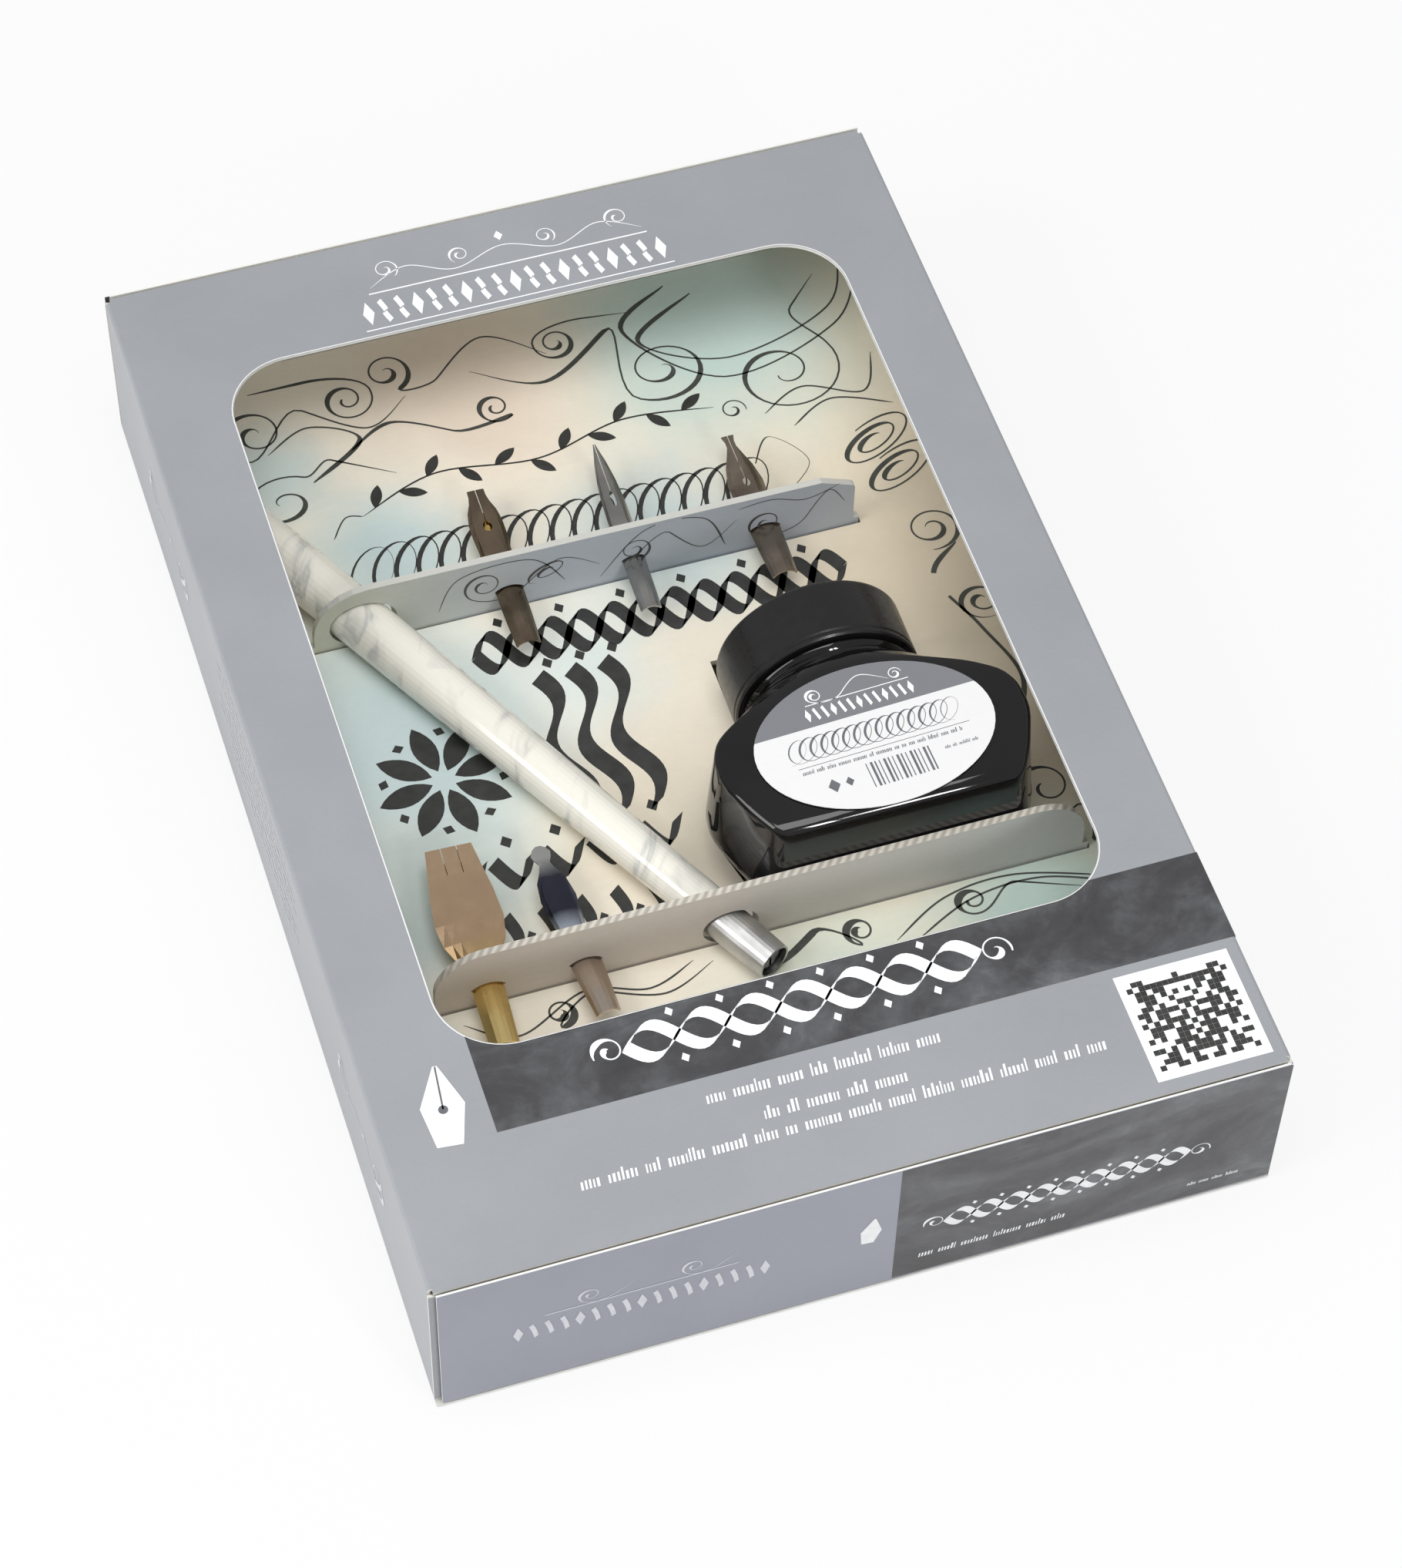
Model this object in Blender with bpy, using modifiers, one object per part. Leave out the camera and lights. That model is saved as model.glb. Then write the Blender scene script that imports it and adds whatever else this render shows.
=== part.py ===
"""Calligraphy set in a windowed folding carton: a nib holder, five nibs and a bottle of ink.

Metres, +Z up. The carton lies on its back panel with its window upwards. X runs across its
width and Y along its length, and the origin is the middle of its base.
"""

import math

import bmesh
import bpy
import numpy as np
from mathutils import Matrix, Vector

# Carton
BOX_LENGTH = 0.2000
BOX_WIDTH = 0.1345
BOX_DEPTH = 0.0336
BOARD = 0.0005
GAP = 0.0003
CREASE_RADIUS = 0.0006
HALF = 0.5
WHOLE = 1.0
TWICE = 2.0
CORNERS = 4
ENDS = ((-1, "bottom"), (1, "top"))
HANDS = ((-1, "left"), (1, "right"))

# Window in the front panel
WINDOW_WIDTH = 0.1065
WINDOW_LENGTH = 0.1400
WINDOW_SHIFT_X = 0.00035
WINDOW_SHIFT_Y = 0.0081
WINDOW_RADIUS = 0.0110

# Glue seam
GLUE_FLAP_WIDTH = 0.0120
GLUE_FLAP_INSET = 0.0030
SEAM_GROOVE = 0.0003

# End closures
CLOSURE_INSET = 0.0010
TUCK_LENGTH = 0.0135
TUCK_INSET = 0.0090
TUCK_RADIUS = 0.0060
SHOULDER_RADIUS = 0.0005
FLAP_LENGTH = 0.0280
FLAP_TAPER = math.radians(15.0)
FLAP_STEP_AT = 0.0080
FLAP_STEP_HEIGHT = 0.0036
FLAP_FREE_HEIGHT = 0.0050
FLAP_CORNER = 0.0030

# Printed platform
CARD_TOP = 0.0095
CORRUGATED = 0.0012
CARD_SIDE_GAP = 0.0009
CARD_END_GAP = 0.0022
CARD_BEND = 0.0018
CARD_FOOT_GAP = 0.0006
SLOT_GAP = 0.00035
WELL_GAP = 0.0005
WELL_CAP_REACH = 0.0146

# Cradle whose two turned-up ends stand through the platform. The shares are of half the
# carton's width and length
UPPER_FACE_SHARE = 0.350
LOWER_FACE_SHARE = -0.390
UPPER_LEFT_SHARE = -0.7316
UPPER_RIGHT_SHARE = 0.6647
LOWER_LEFT_SHARE = -0.7375
LOWER_RIGHT_SHARE = 0.8654
UPPER_WALL_TOP = 0.0230
UPPER_WALL_TOP_RIGHT = 0.0222
LOWER_WALL_TOP = 0.0231
UPPER_WALL_CORNER = 0.0095
UPPER_WALL_END_DROP = 0.0027
UPPER_WALL_END_RUN = 0.0060
LOWER_WALL_CORNER = 0.0083
WALL_FOOT = 0.0010
WALL_FOOT_TOP = 0.0108
CRADLE_BEND = 0.0015
TRIM_SPARE = 0.0002

# Nib holder, measured along its axis from the upper wall towards the nib end. Its own shares
# are of its length and of its widest radius
HOLDER_UPPER_SHARE = -0.6052
HOLDER_LOWER_SHARE = -0.0178
HOLDER_UPPER_Z = 0.0144
HOLDER_LOWER_Z = 0.0133
HOLDER_BACK = 0.0453
HOLDER_GRIP_RADIUS = 0.0046
HOLDER_FRONT_RADIUS = 0.0036
HOLDER_HOLE_GAP = 0.0005
HOLDER_SHARES = (
    (0.000, 0.30),
    (0.008, 0.60),
    (0.030, 0.84),
    (0.070, 0.92),
    (0.240, 1.02),
    (0.360, 1.00),
    (0.480, 0.97),
    (0.620, 0.915),
    (0.760, 0.865),
    (0.900, 0.815),
    (0.990, 0.785),
    (1.000, 0.760),
)
FERRULE_START = 0.0795
FERRULE_END = 0.0935
FERRULE_RADIUS = 0.00335
FERRULE_END_RADIUS = 0.00312
FERRULE_WALL = 0.00035
SPIGOT_LENGTH = 0.0045
GRIP_LENGTH = 0.0082
GRIP_RADIUS = 0.00215
GRIP_SLIT = 0.0005

# Nibs. Stations run from the end of the shank to the tip, each a share of the length, of the
# half width, and the arch's rise as a share of the width there
NIB_SHEET = 0.00030
NIB_SLIT_GAP = 0.00032
NIB_TIP_SLIT = 0.00014
NIB_PLANE = 0.0148
RESERVOIR_DROP = 0.00065
POSTER_SLIT_PLACES = (-0.0013, 0.0013)
STUB_RESERVOIR_CLEAR = 0.0010
STUB_RESERVOIR_SHARE = 0.86
POSTER_PLATE_CLEAR = 0.0018
POSTER_PLATE_SHARE = 0.93
DISC_RESERVOIR_CLEAR = 0.0050
DISC_RESERVOIR_SHARE = 0.84
RESERVOIR_WIDTH_SHARE = 0.74
STUB_SHARES = (
    (0.000, 0.724, 0.55),
    (0.180, 0.793, 0.55),
    (0.400, 0.828, 0.52),
    (0.560, 0.897, 0.46),
    (0.720, 1.000, 0.38),
    (0.800, 1.000, 0.34),
    (0.870, 0.860, 0.26),
    (0.920, 0.620, 0.16),
    (0.960, 0.517, 0.08),
    (1.000, 0.500, 0.04),
)
POINTED_SHARES = (
    (0.000, 0.880, 0.55),
    (0.200, 0.930, 0.55),
    (0.400, 0.980, 0.52),
    (0.560, 1.000, 0.48),
    (0.680, 0.950, 0.42),
    (0.780, 0.790, 0.36),
    (0.880, 0.530, 0.28),
    (0.950, 0.270, 0.20),
    (1.000, 0.095, 0.10),
)
FLARED_SHARES = (
    (0.000, 0.720, 0.55),
    (0.200, 0.810, 0.55),
    (0.400, 0.864, 0.50),
    (0.540, 0.949, 0.44),
    (0.680, 1.000, 0.38),
    (0.790, 0.760, 0.30),
    (0.870, 0.440, 0.20),
    (0.920, 0.270, 0.12),
    (0.960, 0.260, 0.08),
    (1.000, 0.360, 0.05),
)
POSTER_SHARES = (
    (0.000, 0.423, 0.55),
    (0.180, 0.450, 0.55),
    (0.330, 0.468, 0.50),
    (0.430, 0.613, 0.30),
    (0.520, 0.901, 0.14),
    (0.620, 1.000, 0.07),
    (0.760, 0.919, 0.04),
    (0.880, 0.793, 0.02),
    (1.000, 0.681, 0.01),
)
DISC_SHARES = (
    (0.000, 0.690, 0.55),
    (0.200, 0.828, 0.55),
    (0.360, 0.897, 0.50),
    (0.480, 0.793, 0.46),
    (0.580, 0.897, 0.40),
    (0.700, 1.000, 0.34),
    (0.800, 0.828, 0.26),
    (0.860, 0.448, 0.16),
    (0.895, 0.310, 0.08),
    (0.925, 0.483, 0.02),
    (0.955, 0.569, 0.00),
    (0.985, 0.379, 0.00),
    (1.000, 0.138, 0.00),
)

# Ink bottle, lying on its back face. Heights are from its base along its axis. Stations run
# from the base to the neck, each a share of the body's height, the front face's and the
# middle's shares of the half width, the share of the half depth, and how round the section is
BOTTLE_PLACE_SHARE = 0.4045
BOTTLE_WIDTH_SHARE = 0.40
BOTTLE_AXIS_Z = 0.01665
BOTTLE_HALF_DEPTH = 0.01585
BODY_HEIGHT = 0.0323
BACK_WIDTH_SHARE = 0.80
BODY_EDGE = 0.0012
SOLID_STEPS = 2
THROAT_STEPS = 4
NECK_FOOT_STEPS = 2
BODY_SHARES = (
    (0.0000, 0.691, 0.766, 0.833, 0.00),
    (0.0124, 0.729, 0.796, 0.921, 0.00),
    (0.0402, 0.766, 0.825, 0.978, 0.00),
    (0.0805, 0.796, 0.855, 1.000, 0.00),
    (0.2322, 0.885, 0.937, 1.000, 0.00),
    (0.4334, 0.955, 1.000, 1.000, 0.00),
    (0.5263, 0.948, 0.989, 1.000, 0.05),
    (0.6192, 0.903, 0.952, 1.000, 0.15),
    (0.7214, 0.744, 0.885, 0.997, 0.40),
    (0.8142, 0.513, 0.814, 0.984, 0.60),
    (0.8947, 0.297, 0.732, 0.959, 0.80),
    (0.9567, 0.149, 0.639, 0.921, 0.95),
    (1.0000, 0.037, 0.558, 0.883, 1.00),
)
NECK_RADIUS = 0.0124
NECK_HEIGHT = 0.0431
MOUTH_RADIUS = 0.0098
GLASS = 0.0022
THREAD_PITCH = 0.0035
THREAD_HEIGHT = 0.0006
THREAD_WIDTH = 0.0013
THREAD_TURNS = 1.5
THREAD_START = 0.0359
COLLAR_RADIUS = 0.0148
COLLAR_HEIGHT = 0.0334
COLLAR_WIDTH = 0.0009

# Cap
CAP_RADIUS = 0.0158
CAP_BORE = 0.0134
CAP_RIM_HEIGHT = 0.0346
CAP_TOP_HEIGHT = 0.0461
CAP_TOP_WALL = 0.0014
CAP_EDGE = 0.0009
CAP_RIM_LIP = 0.0004
LINER_RADIUS = 0.0129
LINER_THICKNESS = 0.0009

# Label
LABEL_WIDTH_SHARE = 0.7330
LABEL_HALF_LENGTH = 0.0135
LABEL_HEIGHT = 0.0140
LABEL_TURN = math.radians(2.4)
LABEL_THICKNESS = 0.00015

# Mesh detail
ARC_STEPS = 6
BEND_STEPS = 4
ROUND_STEPS = 48
THIN_ROUND_STEPS = 32
NIB_ACROSS = 8
EDGE_STEPS = 2
SIDE_STEPS = 4
WINDOW_STEPS = 12
HOLE_STEPS = 16
THREAD_STEPS = 24
LABEL_STEPS = 64
SMOOTH_ANGLE = math.radians(35.0)
MERGE = 0.00001
CUT_MARGIN = 0.0020

# Colours (linear) and finishes: red, green, blue, roughness, metallic
FINISH = {
    "carton_sleeve": (0.40, 0.42, 0.46, 0.55, 0.0),
    "closure": (0.40, 0.42, 0.47, 0.55, 0.0),
    "tuck_tab": (0.78, 0.77, 0.74, 0.70, 0.0),
    "dust_flap": (0.78, 0.77, 0.74, 0.70, 0.0),
    "display_card": (0.78, 0.74, 0.63, 0.65, 0.0),
    "cradle": (0.52, 0.50, 0.46, 0.70, 0.0),
    "holder_body": (0.82, 0.81, 0.74, 0.30, 0.0),
    "holder_ferrule": (0.60, 0.60, 0.60, 0.38, 1.0),
    "nib_grip": (0.25, 0.25, 0.26, 0.45, 1.0),
    "nib_stub": (0.16, 0.13, 0.10, 0.30, 1.0),
    "nib_pointed": (0.30, 0.30, 0.30, 0.28, 1.0),
    "nib_flared": (0.18, 0.14, 0.11, 0.30, 1.0),
    "nib_poster": (0.38, 0.22, 0.13, 0.35, 1.0),
    "nib_disc": (0.06, 0.07, 0.12, 0.30, 1.0),
    "reservoir": (0.62, 0.42, 0.16, 0.28, 1.0),
    "ink_bottle": (0.010, 0.010, 0.012, 0.08, 0.0),
    "bottle_label": (0.80, 0.80, 0.80, 0.45, 0.0),
    "bottle_cap": (0.014, 0.014, 0.015, 0.30, 0.0),
    "cap_liner": (0.75, 0.74, 0.70, 0.70, 0.0),
}

HALF_LENGTH = BOX_LENGTH * HALF
HALF_WIDTH = BOX_WIDTH * HALF
UPPER_WALL_FACE_Y = HALF_LENGTH * UPPER_FACE_SHARE
LOWER_WALL_FACE_Y = HALF_LENGTH * LOWER_FACE_SHARE
UPPER_WALL_LEFT = HALF_WIDTH * UPPER_LEFT_SHARE
UPPER_WALL_RIGHT = HALF_WIDTH * UPPER_RIGHT_SHARE
LOWER_WALL_LEFT = HALF_WIDTH * LOWER_LEFT_SHARE
LOWER_WALL_RIGHT = HALF_WIDTH * LOWER_RIGHT_SHARE
INNER_HALF_WIDTH = HALF_WIDTH - BOARD
INNER_TOP = BOX_DEPTH - BOARD
CREASE = BOARD * HALF
PANEL_END = HALF_LENGTH - BOARD - GAP
SIDE_END = PANEL_END - BOARD - GAP
TUCK_HINGE_Z = BOARD + GAP + CREASE
TUCK_HINGE_END = PANEL_END - CREASE
FLAP_BOTTOM = TUCK_HINGE_Z + CREASE + GAP
CLOSURE_HINGE_Z = BOX_DEPTH - CREASE
CARD_HALF_WIDTH = INNER_HALF_WIDTH - CARD_SIDE_GAP
CARD_HALF_LENGTH = HALF_LENGTH - CARD_END_GAP
FLOOR_BOTTOM = BOARD + GAP
FLOOR_TOP = FLOOR_BOTTOM + CORRUGATED
TRIM_FROM = FLOOR_TOP + CORRUGATED
HOLDER_FROM = Vector((HALF_WIDTH * HOLDER_UPPER_SHARE, UPPER_WALL_FACE_Y, HOLDER_UPPER_Z))
HOLDER_TO = Vector((HALF_WIDTH * HOLDER_LOWER_SHARE, LOWER_WALL_FACE_Y, HOLDER_LOWER_Z))
HOLDER_AXIS = (HOLDER_TO - HOLDER_FROM).normalized()
BOTTLE_X = HALF_WIDTH * BOTTLE_PLACE_SHARE
BOTTLE_BASE_Y = LOWER_WALL_FACE_Y + CORRUGATED + GAP
BOTTLE_HALF_WIDTH = HALF_WIDTH * BOTTLE_WIDTH_SHARE
LABEL_HALF_WIDTH = BOTTLE_HALF_WIDTH * LABEL_WIDTH_SHARE
MATRIX_SIZE = 4
ALONG_Y = Matrix.Rotation(-math.pi * HALF, MATRIX_SIZE, "X")


def clear_scene():
    for obj in list(bpy.data.objects):
        bpy.data.objects.remove(obj, do_unlink=True)


def new_collection(name):
    collection = bpy.data.collections.new(name)
    bpy.context.scene.collection.children.link(collection)
    return collection


def principled(name, kind):
    red, green, blue, roughness, metallic = FINISH[kind]
    material = bpy.data.materials.new(name)
    material.use_nodes = True
    shader = material.node_tree.nodes["Principled BSDF"]
    shader.inputs["Base Color"].default_value = (red, green, blue, WHOLE)
    shader.inputs["Roughness"].default_value = roughness
    shader.inputs["Metallic"].default_value = metallic
    return material


def finish(obj, kind):
    """Gives a piece its own material and smooth shading on its round stretches."""
    obj.data.materials.clear()
    obj.data.materials.append(principled(obj.name, kind))
    obj.data.shade_smooth()
    obj.data.set_sharp_from_angle(angle=SMOOTH_ANGLE)
    return obj


def as_cutter(obj):
    for collection in list(obj.users_collection):
        collection.objects.unlink(obj)
    CUTTERS.objects.link(obj)
    obj.hide_render = True
    obj.display_type = "WIRE"
    return obj


def boolean(obj, other, operation="DIFFERENCE"):
    modifier = obj.modifiers.new(other.name, "BOOLEAN")
    modifier.operation = operation
    modifier.solver = "EXACT"
    modifier.object = other
    return obj


def mesh_object(name, bm, matrix=None):
    mesh = bpy.data.meshes.new(name)
    bm.to_mesh(mesh)
    bm.free()
    obj = bpy.data.objects.new(name, mesh)
    PARTS.objects.link(obj)
    if matrix is not None:
        obj.matrix_world = matrix
    return obj


def set_origin(obj, point):
    """Moves the object's origin to a point of the world and leaves its shape where it is."""
    shift = obj.matrix_world.inverted() @ Vector(point)
    obj.data.transform(Matrix.Translation(-shift))
    obj.matrix_world.translation = Vector(point)
    return obj


def block(name, low, high):
    bm = bmesh.new()
    low, high = Vector(low), Vector(high)
    size = high - low
    place = Matrix.Translation((low + high) * HALF) @ Matrix.Diagonal((*size, WHOLE))
    bmesh.ops.create_cube(bm, size=WHOLE, matrix=place)
    return mesh_object(name, bm)


def rounded(corners, radii, steps=ARC_STEPS):
    """An outline's points, each corner replaced by an arc of its own radius."""
    points = []
    count = len(corners)
    for index, radius in enumerate(radii):
        here = Vector(corners[index])
        if not radius:
            points.append(here)
            continue
        back = (Vector(corners[index - 1]) - here).normalized()
        on = (Vector(corners[(index + 1) % count]) - here).normalized()
        opening = back.angle(on) * HALF
        reach = radius / math.tan(opening)
        centre = here + (back + on).normalized() * radius / math.sin(opening)
        start = here + back * reach - centre
        end = here + on * reach - centre
        turn = start.angle(end)
        for step in range(steps + 1):
            share = step / steps
            mixed = start * math.sin((WHOLE - share) * turn) + end * math.sin(share * turn)
            points.append(centre + mixed / math.sin(turn))
    return points


def rectangle(left, low, right, high):
    return [(left, low), (right, low), (right, high), (left, high)]


def plate(name, outlines, low, high, matrix=None):
    """A flat outline, with the holes that further outlines make, as thick as from low to high."""
    curve = bpy.data.curves.new(name, "CURVE")
    curve.dimensions = "2D"
    curve.fill_mode = "BOTH"
    curve.extrude = (high - low) * HALF
    for outline in outlines:
        spline = curve.splines.new("POLY")
        spline.points.add(len(outline) - 1)
        for point, place in zip(spline.points, outline):
            point.co = (place[0], place[1], 0.0, WHOLE)
        spline.use_cyclic_u = True
    guide = bpy.data.objects.new(name, curve)
    PARTS.objects.link(guide)
    guide.location.z = (low + high) * HALF
    if matrix is not None:
        guide.matrix_world = matrix @ Matrix.Translation((0.0, 0.0, (low + high) * HALF))
    return mesh_from_curve(guide)


def mesh_from_curve(guide):
    bpy.context.view_layer.update()
    graph = bpy.context.evaluated_depsgraph_get()
    mesh = bpy.data.meshes.new_from_object(guide.evaluated_get(graph))
    bm = bmesh.new()
    bm.from_mesh(mesh)
    bmesh.ops.remove_doubles(bm, verts=bm.verts, dist=MERGE)
    bmesh.ops.recalc_face_normals(bm, faces=bm.faces)
    bm.to_mesh(mesh)
    bm.free()
    name, matrix = guide.name, guide.matrix_world.copy()
    bpy.data.objects.remove(guide, do_unlink=True)
    obj = bpy.data.objects.new(name, mesh)
    PARTS.objects.link(obj)
    obj.matrix_world = matrix
    return obj


# A plate drawn in X and Z whose thickness runs along +Y
STANDING = Matrix(((1, 0, 0, 0), (0, 0, 1, 0), (0, 1, 0, 0), (0, 0, 0, 1)))
# A plate drawn in Y and Z whose thickness runs along +X
SIDEWAYS = Matrix(((0, 0, 1, 0), (1, 0, 0, 0), (0, 1, 0, 0), (0, 0, 0, 1)))


def turned(name, profile, steps, matrix):
    """A profile of (radius, height) pairs, from its top down its outer side, turned about Z."""
    bm = bmesh.new()
    made = [bm.verts.new((radius, 0.0, height)) for radius, height in profile]
    for first, second in zip(made, made[1:]):
        bm.edges.new((first, second))
    if profile[0][0] > 0:
        bm.edges.new((made[-1], made[0]))
    obj = mesh_object(name, bm, matrix)
    screw = obj.modifiers.new("turn", "SCREW")
    screw.axis = "Z"
    screw.steps = steps
    screw.render_steps = steps
    screw.use_merge_vertices = True
    screw.merge_threshold = MERGE
    return obj


# Carton


def carton_sleeve():
    """The tube of four panels, with its window, its end creases and its glued seam."""
    outer = rounded(
        rectangle(-HALF_WIDTH, 0.0, HALF_WIDTH, BOX_DEPTH), [CREASE_RADIUS] * CORNERS, BEND_STEPS
    )
    inner = rectangle(-INNER_HALF_WIDTH, BOARD, INNER_HALF_WIDTH, INNER_TOP)
    sleeve = plate("carton_sleeve", [outer, inner], -HALF_LENGTH, HALF_LENGTH, STANDING)
    boolean(sleeve, window_cutter())
    for side, word in ENDS:
        for cutter in end_cutters(side, word):
            boolean(sleeve, cutter)
    boolean(sleeve, glue_flap(), "UNION")
    groove = block(
        "seam_groove_cut",
        (-HALF_WIDTH - CUT_MARGIN, -HALF_LENGTH - CUT_MARGIN, CREASE_RADIUS),
        (-HALF_WIDTH + SEAM_GROOVE, HALF_LENGTH + CUT_MARGIN, CREASE_RADIUS + SEAM_GROOVE),
    )
    boolean(sleeve, as_cutter(groove))
    return finish(sleeve, "carton_sleeve")


def window_cutter():
    across, along = WINDOW_WIDTH * HALF, WINDOW_LENGTH * HALF
    outline = rounded(
        rectangle(
            WINDOW_SHIFT_X - across, WINDOW_SHIFT_Y - along,
            WINDOW_SHIFT_X + across, WINDOW_SHIFT_Y + along,
        ),
        [WINDOW_RADIUS] * CORNERS,
        WINDOW_STEPS,
    )
    low, high = INNER_TOP - CUT_MARGIN, BOX_DEPTH + CUT_MARGIN
    return as_cutter(plate("window_cut", [outline], low, high))


def end_cutters(side, word):
    """What ends the front panel at the closure's crease, and the side panels at the flaps'."""
    end = side * (HALF_LENGTH + CUT_MARGIN)
    front_from, side_from = side * PANEL_END, side * SIDE_END
    front = block(
        f"{word}_front_crease_cut",
        (-HALF_WIDTH - CUT_MARGIN, min(front_from, end), INNER_TOP - GAP),
        (HALF_WIDTH + CUT_MARGIN, max(front_from, end), BOX_DEPTH + CUT_MARGIN),
    )
    cutters = [front]
    for hand, place in HANDS:
        outside = hand * (HALF_WIDTH + CUT_MARGIN)
        inside = hand * (INNER_HALF_WIDTH - GAP)
        cutters.append(
            block(
                f"{word}_{place}_crease_cut",
                (min(outside, inside), min(side_from, end), BOARD),
                (max(outside, inside), max(side_from, end), BOX_DEPTH + CUT_MARGIN),
            )
        )
    return [as_cutter(cutter) for cutter in cutters]


def glue_flap():
    """The flap glued inside the left panel, sunk into it so that the two are one."""
    flap = block(
        "glue_flap_join",
        (-INNER_HALF_WIDTH - CREASE, -SIDE_END + GLUE_FLAP_INSET, CREASE),
        (-INNER_HALF_WIDTH + BOARD, SIDE_END - GLUE_FLAP_INSET, GLUE_FLAP_WIDTH),
    )
    return as_cutter(flap)


def closure(side, word):
    """An end panel that turns about its crease with the front panel."""
    left, right = -HALF_WIDTH + CLOSURE_INSET, HALF_WIDTH - BOARD
    corners = rectangle(left, BOARD + GAP, right, BOX_DEPTH)
    radii = [SHOULDER_RADIUS, SHOULDER_RADIUS, 0, 0]
    outside, inside = side * HALF_LENGTH, side * (HALF_LENGTH - BOARD)
    panel = plate(
        f"{word}_closure",
        [rounded(corners, radii, BEND_STEPS)],
        min(outside, inside),
        max(outside, inside),
        STANDING,
    )
    set_origin(panel, (0.0, side * (HALF_LENGTH - CREASE), CLOSURE_HINGE_Z))
    return finish(panel, "closure")


def tuck_tab(side, word, panel):
    """The tab at the closure's lower edge, tucked in along the back panel. It turns about a
    crease just inside the closure, so that it can lie back against it."""
    reach = HALF_WIDTH - TUCK_INSET
    crease_end, free_end = side * PANEL_END, side * (HALF_LENGTH - TUCK_LENGTH)
    corners = [(-reach, crease_end), (reach, crease_end), (reach, free_end), (-reach, free_end)]
    outline = rounded(corners, [0, 0, TUCK_RADIUS, TUCK_RADIUS])
    tab = plate(f"{word}_tuck_tab", [outline], BOARD + GAP, BOARD + GAP + BOARD)
    set_origin(tab, (0.0, side * TUCK_HINGE_END, TUCK_HINGE_Z))
    finish(tab, "tuck_tab")
    return parented(tab, panel)


def parented(child, parent):
    bpy.context.view_layer.update()
    place = child.matrix_world.copy()
    child.parent = parent
    child.matrix_world = place
    return child


def dust_flap(side, word, hand, place):
    """A flap on a side panel's end. Both of its long edges draw in, to let the closure's tab by."""
    crease = hand * HALF_WIDTH
    step = crease - hand * FLAP_STEP_AT
    free = crease - hand * FLAP_LENGTH
    low = FLAP_BOTTOM
    high = INNER_TOP - GAP
    drop = FLAP_LENGTH * math.tan(FLAP_TAPER)
    corners = [
        (crease, low), (step, low), (step - hand * GAP, FLAP_STEP_HEIGHT),
        (free, FLAP_FREE_HEIGHT), (free, high - drop), (crease, high),
    ]
    outline = rounded(corners, [0, 0, 0, FLAP_CORNER, FLAP_CORNER, 0])
    outside, inside = side * PANEL_END, side * (PANEL_END - BOARD)
    flap = plate(
        f"{word}_{place}_dust_flap", [outline], min(outside, inside), max(outside, inside), STANDING
    )
    set_origin(flap, (hand * (HALF_WIDTH - CREASE), side * (PANEL_END - CREASE), 0.0))
    return finish(flap, "dust_flap")


# Insert


def bottle_well(name, start, low, high):
    """The cut-out that the bottle and its cap lie in. It follows the outline that the body has
    at the platform's height."""
    cap_end = CAP_TOP_HEIGHT + THREAD_PITCH * THREAD_TURNS + GAP + BOTTLE_BASE_Y
    collar = BOTTLE_BASE_Y + COLLAR_HEIGHT
    places = [(half_width_at(row, CARD_TOP), station_y(row)) for row in BODY_SHARES]
    side = [(x + WELL_GAP, y) for x, y in places if x > WELL_CAP_REACH]
    right = [(side[0][0], start), *side, (WELL_CAP_REACH, collar), (WELL_CAP_REACH, cap_end)]
    outline = right + [(-x, y) for x, y in reversed(right)]
    outline = [(x + BOTTLE_X, y) for x, y in outline]
    return as_cutter(plate(name, [outline], low, high))


def bent_sheet(half_width, foot):
    """The platform's section: a flat top with a leg folded down along each long side."""
    outer = [
        (-half_width, foot), (half_width, foot), (half_width, CARD_TOP), (-half_width, CARD_TOP)
    ]
    inside = half_width - CORRUGATED
    under = CARD_TOP - CORRUGATED
    top = rounded(outer, [0, 0, CARD_BEND, CARD_BEND], BEND_STEPS)
    inner_radius = CARD_BEND - CORRUGATED
    hollow = [(-inside, foot), (-inside, under), (inside, under), (inside, foot)]
    arch = rounded(hollow, [0, inner_radius, inner_radius, 0], BEND_STEPS)
    first_leg, rest = top[0], top[1:]
    return [first_leg, *arch, *rest]


def display_card():
    """The printed platform that the pieces lie over."""
    foot = BOARD + CARD_FOOT_GAP
    card = plate(
        "display_card",
        [bent_sheet(CARD_HALF_WIDTH, foot)],
        -CARD_HALF_LENGTH,
        CARD_HALF_LENGTH,
        STANDING,
    )
    low, high = CARD_TOP - CORRUGATED - CUT_MARGIN, CARD_TOP + CUT_MARGIN
    for name, left, right, face in (
        ("upper_slot_cut", UPPER_WALL_LEFT, UPPER_WALL_RIGHT, UPPER_WALL_FACE_Y),
        ("lower_slot_cut", LOWER_WALL_LEFT, LOWER_WALL_RIGHT, LOWER_WALL_FACE_Y),
    ):
        slot = block(
            name,
            (left - WALL_FOOT - SLOT_GAP, face - SLOT_GAP, low),
            (right + WALL_FOOT + SLOT_GAP, face + CORRUGATED + SLOT_GAP, high),
        )
        boolean(card, as_cutter(slot))
    start = LOWER_WALL_FACE_Y + CORRUGATED * HALF
    boolean(card, bottle_well("card_well_cut", start, low, high))
    return finish(card, "display_card")


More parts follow.
